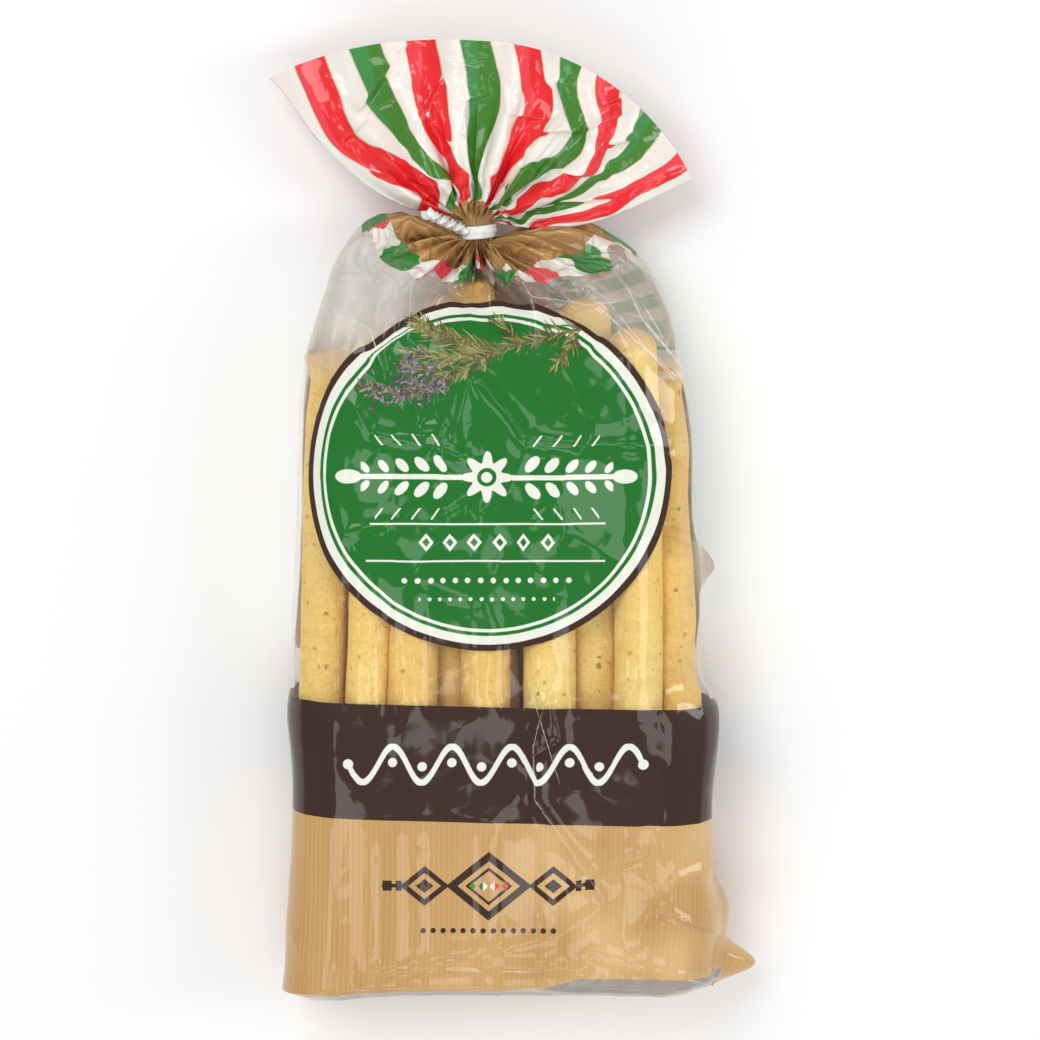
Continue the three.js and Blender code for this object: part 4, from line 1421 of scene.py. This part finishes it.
# %% Fine crinkle
crinkle, given, result = new_group(
    "fine crinkle", {"Across": "float", "Along": "float", "Amount": "float"}, {"Height": "float"})
place = vector(crinkle, given["Across"], given["Along"])
shove = add_node(crinkle, "TexNoise", Vector=place, Scale=0.09, Detail=1.0)
shoved = add_node(crinkle, "VectorMath", {"operation": "MULTIPLY_ADD"})
for socket, value in zip(shoved.inputs, (shove.outputs["Color"], (9, 9, 0), place)):
    plug(crinkle, value, socket)
from_ridge = cell_edge(crinkle, shoved.outputs[0], 12)
height = Field(crinkle, shove.outputs["Fac"]) * 2.0 - from_ridge.math("MINIMUM", 0.25) * 1.6
plug(crinkle, height * given["Amount"], result.inputs["Height"])

# %% Gathered folds
gathers, given, result = new_group(
    "gathered folds", {"Across": "float", "Along": "float"}, {"Height": "float", "Crease": "float"})
sway = cloud(gathers, vector(gathers, given["Across"] * 0.4, given["Along"]), 11, 1)
fold_place = vector(gathers, given["Across"] * 0.5 + sway * 9, given["Along"] * 0.11)
from_fold = cell_edge(gathers, fold_place, 2.6)
plug(gathers, from_fold.math("MINIMUM", 0.35), result.inputs["Height"])
# the Crease output marks where painted shade goes in the folds' valleys
plug(gathers, from_fold.below(0.09, 0.18), result.inputs["Crease"])

# %% [markdown]
# ## The print on the front
#
# From the foot up: ribbed kraft with a brown rosette, a brown band with a white running wave, the round green
# label, a border of squares and the kraft of the neck. The film between them is left clear so that the bread
# shows. The decoration is made of rings, bars, lozenges, waves and grains of wheat, and it carries no words.

# %% [markdown]
# ### Zones
#
# Each zone of the film gets its own material, so that a plain clear patch doesn't carry the drawing of the
# label with it. A zone is a set of faces, found from the same flat coordinates that the print is drawn in.

# %% Film zones
BORDER_LOW, BORDER_HIGH = SHOULDER_Y + 0.45 * SHOULDER_FILM, SHOULDER_Y + 0.6 * SHOULDER_FILM
LABEL_SQUEEZE = 1.037
FRONT_HALF = 76  # the print of the front ends this far from its middle
ZONES = ("clear film", "label film", "foot film", "neck film", "back film")
ring_of, column_of = tube_corners(film_u.shape[0], film_u.shape[1] - 1)
zone_u, zone_v, zone_x, zone_y = (
    grid[ring_of, column_of].mean(axis=1)
    for grid in (film_u, film_v, label_x, LABEL_SQUEEZE * label_y))
zone = np.zeros(len(zone_u), int)
at_side = np.abs(zone_u) > FRONT_HALF
zone[at_side & (zone_v < BORDER_LOW)] = 4
zone[zone_v + BAND_TILT * zone_u < BAND_TOP + 2.5] = 2
zone[zone_v > BORDER_LOW - np.where(at_side, 30, 16)] = 3
zone[(np.abs(zone_u) < FRONT_HALF) & (np.hypot(zone_x, zone_y) < LABEL_RADIUS + 2.5)] = 1
print({name: int((zone == number).sum()) for number, name in enumerate(ZONES)})


# %% What every film has: crinkles, gleam, haze
HAZE, FILM_IOR = 0.02, 1.5
VEIL, INK_BACK = (0.96, 0.96, 0.91, 1), tint(228, 218, 208)


def crinkled(tree, u, v, amount, depth=0.2):
    """The normal of handled film."""
    fine = use_group(tree, crinkle, Across=u, Along=v, Amount=amount)
    return bumped(tree, fine.outputs["Height"], 0.6, depth)


def clear_film(tree, normal, haze):
    """Light goes through, except for a gleam that grows at grazing angles and a slight haze."""
    through = add_node(tree, "BsdfTransparent", Color=(0.985, 0.985, 0.975, 1))
    gleam = add_node(tree, "BsdfGlossy", Color=(1, 1, 1, 1), Roughness=0.07, Normal=normal)
    ratio = seen_from_inside(tree) * (1 / FILM_IOR - FILM_IOR) + FILM_IOR  # there is air on both sides
    edge_on = add_node(tree, "Fresnel", IOR=ratio, Normal=normal)
    veil = add_node(tree, "BsdfDiffuse", Color=VEIL, Normal=normal)
    glow = add_node(tree, "BsdfTranslucent", Color=VEIL, Normal=normal)
    shiny = laid_over(tree, through, gleam, Field(tree, edge_on.outputs[0]))
    return laid_over(tree, shiny, laid_over(tree, veil, glow, 0.4), haze)


def laid_over(tree, lower, upper, share):
    node = add_node(tree, "MixShader", Fac=share)
    plug(tree, lower.outputs[0], node.inputs[1])
    plug(tree, upper.outputs[0], node.inputs[2])
    return node


def gloss_over(tree, colour, normal):
    """Matte ink under a clear glossy coat."""
    node = add_node(tree, "BsdfPrincipled", Base_Color=colour, Roughness=0.5, Normal=normal)
    node.inputs["Specular IOR Level"].default_value = 0.15
    node.inputs["Coat Weight"].default_value = 0.75
    node.inputs["Coat Roughness"].default_value = 0.06
    plug(tree, normal, node.inputs["Coat Normal"])
    return node


def printed_film(tree, art, normal):
    """Ink under a glossy film; from the inside its bare back shows, paler."""
    return gloss_over(tree, blend(tree, art, INK_BACK, seen_from_inside(tree) * 0.35), normal)

# %% The panel inside the back
PANEL_WHITE, TABLE_GREEN = tint(250, 249, 244), tint(96, 168, 122)
PANEL_ACROSS, PANEL_ALONG = (111, 27), (22, 54)  # each with its middle and its half size
PANEL_ROUNDING, PANEL_INK = 8, 0.93
TABLE_ACROSS, TABLE_ALONG, BAR_PITCHES = (106, 27), (-8, 82), (9.0, 10.4)


def back_panel(tree, u, v, base):
    """The pale panel inside the back, with a table of green bars on its right half, over a base colour."""
    in_table = abs(u - TABLE_ACROSS[0]).below(TABLE_ACROSS[1]) * v.between(*TABLE_ALONG)
    bar_wide = abs((u + 2).part(BAR_PITCHES[0])).below(0.44, 0.02)
    bar_high = abs(v.part(BAR_PITCHES[1])).below(0.26, 0.02)
    drawn = blend(tree, PANEL_WHITE, TABLE_GREEN, bar_high * bar_wide * in_table)
    past_side = (abs(abs(u) - PANEL_ACROSS[0]) - PANEL_ACROSS[1]).math("MAXIMUM", 0)
    past_end = (abs(v - PANEL_ALONG[0]) - PANEL_ALONG[1]).math("MAXIMUM", 0)
    panel = distance(past_side, past_end).below(PANEL_ROUNDING, 0.3)
    return blend(tree, base, drawn, panel), panel

# %% How milky the clear film is


def haze_at(tree, u, v):
    """How milky the clear film is: hardly at all over the bread, more on the shoulders and at the right."""
    streaks = cloud(tree, vector(tree, u, v * 0.5), 7, 1) * 0.7 + 0.65
    shoulder = (v - 40).ramp(0.055) * (abs(u) - 8).ramp(0.03)
    margin = (u - 59).ramp(0.12) * v.above(-22, 12)
    left = (u * -0.06 + 0.5).ramp()
    return (shoulder * (left * 0.5 + 0.27)).either(margin * 0.3) * streaks + HAZE


def film_material(name):
    tree, output = new_material(name, film_body)
    u, v = surface_map(tree, "film")
    return tree, output, u, v


def hollow(tree, u):
    """1 in the middle of the front, where the film is tucked in under the neck, and 0 at its sides."""
    return (abs(u) / -34 + 1).ramp()


# %% Clear film
tree, output, u, v = film_material("clear film")
film = clear_film(tree, crinkled(tree, u, v, 0.9), haze_at(tree, u, v))
dress(tree, output, film)

# %% Label film: the round
GREEN_DISC, BROWN, LABEL_WHITE = tint(0, 110, 22), tint(52, 26, 8), tint(232, 235, 222)
tree, output, u, v = film_material("label film")
x, y = surface_map(tree, "label")
across, up = abs(x), y
round_label = distance(x, y * LABEL_SQUEEZE)
art = BROWN
for edge, ring_colour in ((50.6, LABEL_WHITE), (48.0, GREEN_DISC), (46.9, LABEL_WHITE), (45.9, GREEN_DISC)):
    art = blend(tree, art, ring_colour, round_label.below(edge))

# %% Label film: wheat ears and a rosette
GRAIN_PITCH, GRAIN_LEAN, EAR_FROM, EAR_TO = 5.4, 0.62, 10.8, 36.0
shrink = 1 - (across / EAR_TO) * 0.45
cell = (across / GRAIN_PITCH).math("FRACT") * GRAIN_PITCH
off_stalk = abs(up + 0.5) / 1.35
grain_x, grain_y = (cell - 2.6) / shrink, (off_stalk - 3.5 * shrink) / shrink
lean_cos, lean_sin = math.cos(GRAIN_LEAN), math.sin(GRAIN_LEAN)
grain_along = grain_x * lean_cos + grain_y * lean_sin
grain_over = grain_y * lean_cos - grain_x * lean_sin
grains = distance(grain_along * 0.5, grain_over).below(1.5) * across.between(EAR_FROM, EAR_TO)
awns = abs(off_stalk - 6.0 - cell + 2.3).below(0.32) * off_stalk.between(6.6, 9.0)
awns = awns * across.between(EAR_FROM, EAR_TO - 4)
stalk = off_stalk.below(0.55) * across.between(7.0, EAR_TO + 3)
tip_grain = distance((across - EAR_TO - 3.4) * 0.42, off_stalk).below(1.5)
from_middle, petal_angle = distance(x, up + 0.5), (up + 0.5).math("ARCTAN2", x)
rosette = (from_middle - 5.7 - (petal_angle * 8).math("COSINE") * 1.6).below(0) * from_middle.above(2.6)
white_art = from_middle.below(1.5)
for shape in (grains, awns, stalk, tip_grain, rosette):
    white_art = white_art.either(shape)

# %% Label film: rules, lozenges and dots
upper_rule = abs(up + 13.9).below(0.28) * abs(x - 0.2).below(33.6)
lower_rule = abs(up + 24.6).below(0.28) * abs(x + 0.4).below(34.2)
lozenge = abs(x.part(7.0)) * 7.0 * 1.25 + abs(up + 19.2)
lozenges = lozenge.between(1.3, 2.6) * across.below(21)
dots = distance(x.part(3.6) * 3.6, up + 30.2).below(0.8) * across.below(25.2)
small_dots = distance(x.part(3.0) * 3.0, up + 35.6).below(0.55) * across.below(19.5)
for shape in (upper_rule, lower_rule, lozenges, dots, small_dots):
    white_art = white_art.either(shape)
art = blend(tree, art, LABEL_WHITE, white_art)
normal = crinkled(tree, u, v, 1.0)
around = clear_film(tree, normal, haze_at(tree, u, v))
film = laid_over(tree, around, printed_film(tree, art, normal), round_label.below(LABEL_RADIUS))
dress(tree, output, film)

# %% Foot film: kraft and the brown band
tree, output, u, v = film_material("foot film")
on_front = abs(u).below(FRONT_HALF, 0.5)
tilted = v + u * BAND_TILT
in_band = tilted.above(BAND_FOOT)
towards_right = (u * 0.016 + 0.5).ramp()
lit = cloud(tree, vector(tree, u, v), 24, 1).above(0.5, 0.3) * towards_right
ribs = use_group(tree, kraft, Across=u, Along=v).outputs["Colour"]
art = blend(tree, ribs, tint(228, 192, 134), lit * 0.6)
art = blend(tree, art, BROWN, in_band)

# %% Foot film: a running wave in the band
WAVE_PITCH, WAVE_RISE, WAVE_END = 17.0, 5.2, 42.5
wave_u, wave_v = u + 2.0, v + 68.3
steep = abs(wave_u.wave(WAVE_PITCH, math.pi / 2)) * 0.9 + 1
stroke = abs(wave_v - wave_u.wave(WAVE_PITCH) * WAVE_RISE) / steep
end_dots = distance(abs(wave_u) - WAVE_END, wave_v).below(1.5)
running = (stroke.below(0.85) * abs(wave_u).below(WAVE_END)).either(end_dots)
upper_half = (wave_u / WAVE_PITCH).math("FRACT").below(0.5, 0.001) * 2 - 1
hollow_v = wave_v * upper_half
from_hollow = distance(wave_u.part(WAVE_PITCH / 2) * (WAVE_PITCH / 2), hollow_v - 0.6)
beads = from_hollow.below(1.35) * abs(wave_u).below(36)
art = blend(tree, art, LABEL_WHITE, running.either(beads) * in_band * on_front)

# %% Foot film: a brown rosette bar on the kraft
seal_u, seal_v = u + 3.2, v + 104.0
seal = abs(seal_u) * 0.82 + abs(seal_v)
nested = seal.between(7.4, 10.2).either(seal.between(4.6, 5.6))
side_seal = abs(abs(seal_u) - 18.6) * 0.82 + abs(seal_v)
nested = nested.either(side_seal.between(3.9, 5.9)).either(side_seal.below(2.1))
bars = abs(seal_v).below(1.5) * abs(seal_u).between(25.2, 26.9).either(abs(seal_u).between(28.1, 30.8))
links = abs(seal_v).below(0.55) * abs(seal_u).between(25, 31)
row_below = distance(seal_u.part(2.9) * 2.9, seal_v + 13.2).below(0.8) * abs(seal_u).below(20)
brown_art = nested.either(bars).either(links).either(row_below)
art = blend(tree, art, BROWN, brown_art * on_front)
core = (abs(seal_u.part(3.4) * 3.4) + abs(seal_v)).below(1.45) * on_front
for low, ink_colour in ((-5.1, GREEN), (-1.7, WHITE), (1.7, RED)):
    art = blend(tree, art, ink_colour, core * seal_u.between(low, low + 3.4))

# %% Foot film: a clear strip at the folded end
STRIP_FILM, MILKY_END, MILKY = 9, -120, 0.42
normal = crinkled(tree, u, v, 0.55)
past_strip = v - (u - 2).ramp(0.045) * 5.5 - BASE_Y + 2.6
printed = past_strip.above(0).either(past_strip.below(-STRIP_FILM)).either(abs(u).above(FRONT_HALF))
around = clear_film(tree, normal, v.below(MILKY_END) * MILKY + HAZE)
film = laid_over(tree, around, printed_film(tree, art, normal), tilted.below(BAND_TOP) * printed)
dress(tree, output, film)

# %% Neck film: a border of squares, then kraft to the tie
tree, output, u, v = film_material("neck film")
tuck_place = vector(tree, u, v * 0.4)
tucked = (cloud(tree, tuck_place, 14, 1) - 0.5) * 34 + (cloud(tree, tuck_place, 4.5, 1) - 0.5) * 4
sunk = 15 * hollow(tree, u) + 4 - (abs(u) - 104).ramp(0.07) * 22
low = v + tucked - sunk
side_slip = (cloud(tree, vector(tree, u * 0.5, v), 9, 1) - 0.5) * 12
squares = use_group(tree, stripes, Across=u * 1.1 + side_slip + 100).outputs["Colour"]
valley_shade = mesh_number(tree, "valley_shade")
folds = use_group(tree, gathers, Across=u, Along=v)
near_tie = (v - 66).ramp(0.05)
crease_shade = Field(tree, folds.outputs["Crease"]) * near_tie
# painted shade in the pleat valleys and along the creases of the kraft
neck_kraft = blend(tree, NECK_KRAFT, KRAFT_SHADE, (valley_shade * 0.6 + crease_shade * 0.5).ramp())
# painted shade: the squares turn grey in the pleat valleys and creases
squares = blend(tree, squares, tint(150, 140, 126), (valley_shade * 0.3).either(crease_shade * 0.35))

# %% Neck film: put the border, the kraft and the back panel together
inner_kraft = (abs(u) - 118).ramp(0.07) * 12
art = blend(tree, squares, neck_kraft, (v + tucked * 0.8 - sunk * 0.9 + inner_kraft).above(BORDER_HIGH))
fine = Field(tree, use_group(tree, crinkle, Across=u, Along=v, Amount=1.0).outputs["Height"])
height = Field(tree, folds.outputs["Height"]) * near_tie * 2.6 + fine * 0.2
normal = bumped(tree, height, 0.8, 1.0)
in_border = low.above(BORDER_LOW)
panel_art, panel = back_panel(tree, u, v, WHITE)
art = blend(tree, panel_art, art, in_border)
around = clear_film(tree, normal, haze_at(tree, u, v))
film = laid_over(tree, around, printed_film(tree, art, normal), in_border.either(panel * PANEL_INK))
dress(tree, output, film)

# %% Back film: a pale panel with a table of green bars
tree, output, u, v = film_material("back film")
art, panel = back_panel(tree, u, v, WHITE)
normal = crinkled(tree, u, v, 1.0)
film = laid_over(tree, clear_film(tree, normal, HAZE), printed_film(tree, art, normal), panel * PANEL_INK)
dress(tree, output, film)
film_body.data.polygons.foreach_set("material_index", zone.astype(np.int32))

# %% Crease lines: whitening with a painted highlight
tree, output = new_material("whitened crease and painted highlight", whitened_and_highlit_creases)
# pale, half see-through ribbons: partly the whitening of a hard crease and partly a painted highlight along it
pale = add_node(tree, "BsdfDiffuse", Color=(0.95, 0.95, 0.92, 1))
dress(tree, output, laid_over(tree, add_node(tree, "BsdfTransparent"), pale, 0.45))

# %% Sprig ink
tree, output = new_material("sprig ink", sprig_print)
part = mesh_number(tree, "part")
shade = mesh_number(tree, "shade")
place = place_in_mm(tree)
dapple = cloud(tree, place, 2.0, 2)
lightness = (shade * 0.9 + dapple * 0.8 - 0.3) ** 1.5
green = blend(tree, tint(46, 54, 22), tint(170, 166, 92), lightness)
lilac = blend(tree, tint(62, 54, 56), tint(162, 150, 156), shade * shade)
wood = blend(tree, tint(66, 42, 24), tint(136, 96, 58), dapple)
colour = blend(tree, blend(tree, green, lilac, part.above(0.5, 0.01)), wood, part.above(1.5, 0.01))
dress(tree, output, add_node(tree, "BsdfPrincipled", Base_Color=colour, Roughness=0.3))

# %% [markdown]
# ## The striped head
#
# The head's film is printed all over, white first and then the stripes, so nothing shows through but a trace
# of the other layer's colour. Its inner side is the bare back of the ink, a pale mint white.

# %% Head material
tree, output = new_material("striped film", film_head)
u, v = surface_map(tree, "film")
colour = use_group(tree, stripes, Across=u).outputs["Colour"]
other_layer = use_group(tree, stripes, Across=u * -1.0 + 23.0 + v * 0.12).outputs["Colour"]
colour = blend(tree, colour, other_layer, 0.06)
kraft_collar = (v + cloud(tree, vector(tree, u, 0.0), 6, 1) * 4 + abs(u - 53) * 0.075).below(11)
colour = blend(tree, colour, NECK_KRAFT, kraft_collar)
colour = blend(tree, colour, tint(228, 236, 224), seen_from_inside(tree) * 0.9)
fine = Field(tree, use_group(tree, crinkle, Across=u * 0.8, Along=v * 0.8, Amount=1.0).outputs["Height"])
folds = use_group(tree, gathers, Across=u, Along=v)
near_tie = (24 - v).ramp(0.06)
crease_shade = Field(tree, folds.outputs["Crease"]) * near_tie * kraft_collar
# painted shade along the creases of the kraft collar
colour = blend(tree, colour, KRAFT_SHADE, crease_shade * 0.5)
height = fine * 0.55 + Field(tree, folds.outputs["Height"]) * near_tie * 2.4
dress(tree, output, gloss_over(tree, colour, bumped(tree, height, 0.7, 1.0)))

# %% [markdown]
# ## Crust
#
# The crust is a warm yellow that turns browner at the ends, on some of the sticks more than on others, and in
# soft patches where the oven was hotter. Chopped rosemary shows as short dark flecks. The skin is matte, with
# pores and small blisters.

# %% Crust material
CRUST, CRUST_PALE, CRUST_BROWN = tint(246, 209, 118), tint(252, 228, 146), tint(216, 158, 76)
HERB, HERB_PALE = tint(112, 92, 44), tint(176, 148, 70)
FLECKS = ((4.2, 0.75, 0.15), (2.8, 0.6, 0.12), (5.6, 0.5, 0.14))  # cell size, share of the cells, reach


def paint_crust(piece):
    tree, output = new_material("crust", piece)
    place = place_in_mm(tree)
    tone = mesh_number(tree, "tone")
    way = mesh_number(tree, "way")
    patches, mottle = cloud(tree, place, 16, 0), cloud(tree, place, 3.2, 2)
    colour = blend(tree, CRUST, CRUST_PALE, patches.above(0.52, 0.3) * 0.7)
    browned = (way.below(0.03, 0.05) * 0.55 + (tone * 0.5 + patches * 0.8).above(0.78, 0.5) * 0.5
               + mottle.above(0.6, 0.3) * 0.25).ramp()
    colour = blend(tree, colour, CRUST_BROWN, browned)
    frayed = cloud(tree, place, 0.8, 1) - 0.5
    flecks = []
    for size, share, reach in FLECKS:
        node = add_node(tree, "TexVoronoi", Vector=place, Scale=1 / size)
        lot = add_node(tree, "SeparateXYZ", Vector=node.outputs["Color"])
        chosen, bigness = Field(tree, lot.outputs["X"]), Field(tree, lot.outputs["Y"])
        edge = (bigness * 0.8 + 0.2) * reach + frayed * 0.3
        within = (Field(tree, node.outputs["Distance"]) - edge).below(0, 0.09)
        flecks.append(within * chosen.below(share, 0.01))
    colour = blend(tree, colour, HERB_PALE, flecks[0].either(flecks[1]) * 0.7)
    colour = blend(tree, colour, HERB, flecks[2] * 0.72)
    pores = cloud(tree, place, 0.9, 0).above(0.62, 0.1)
    height = mottle * 0.7 + patches * 0.5 - pores * 0.35 + flecks[0] * 0.3
    normal = bumped(tree, height, 0.8, 0.5)
    crust = add_node(tree, "BsdfPrincipled", Base_Color=colour, Roughness=0.62, Normal=normal)
    crust.inputs["Specular IOR Level"].default_value = 0.25
    dress(tree, output, crust)


paint_crust(breadsticks_front)
breadsticks_inner.data.materials.append(breadsticks_front.data.materials[0])

# %% Tie material
tree, output = new_material("white tie plastic", twist_tie)
place = place_in_mm(tree)
shade = cloud(tree, place, 2.5, 2)
colour = blend(tree, tint(244, 244, 241), tint(222, 222, 216), shade.above(0.5, 0.3))
normal = bumped(tree, cloud(tree, place, 0.8, 2), 0.3, 0.2)
dress(tree, output, add_node(tree, "BsdfPrincipled", Base_Color=colour, Roughness=0.32, Normal=normal))

# %% Floor material
tree, output = new_material("pale floor", floor)
dress(tree, output, add_node(tree, "BsdfPrincipled", Base_Color=(0.94, 0.94, 0.94, 1), Roughness=0.7))
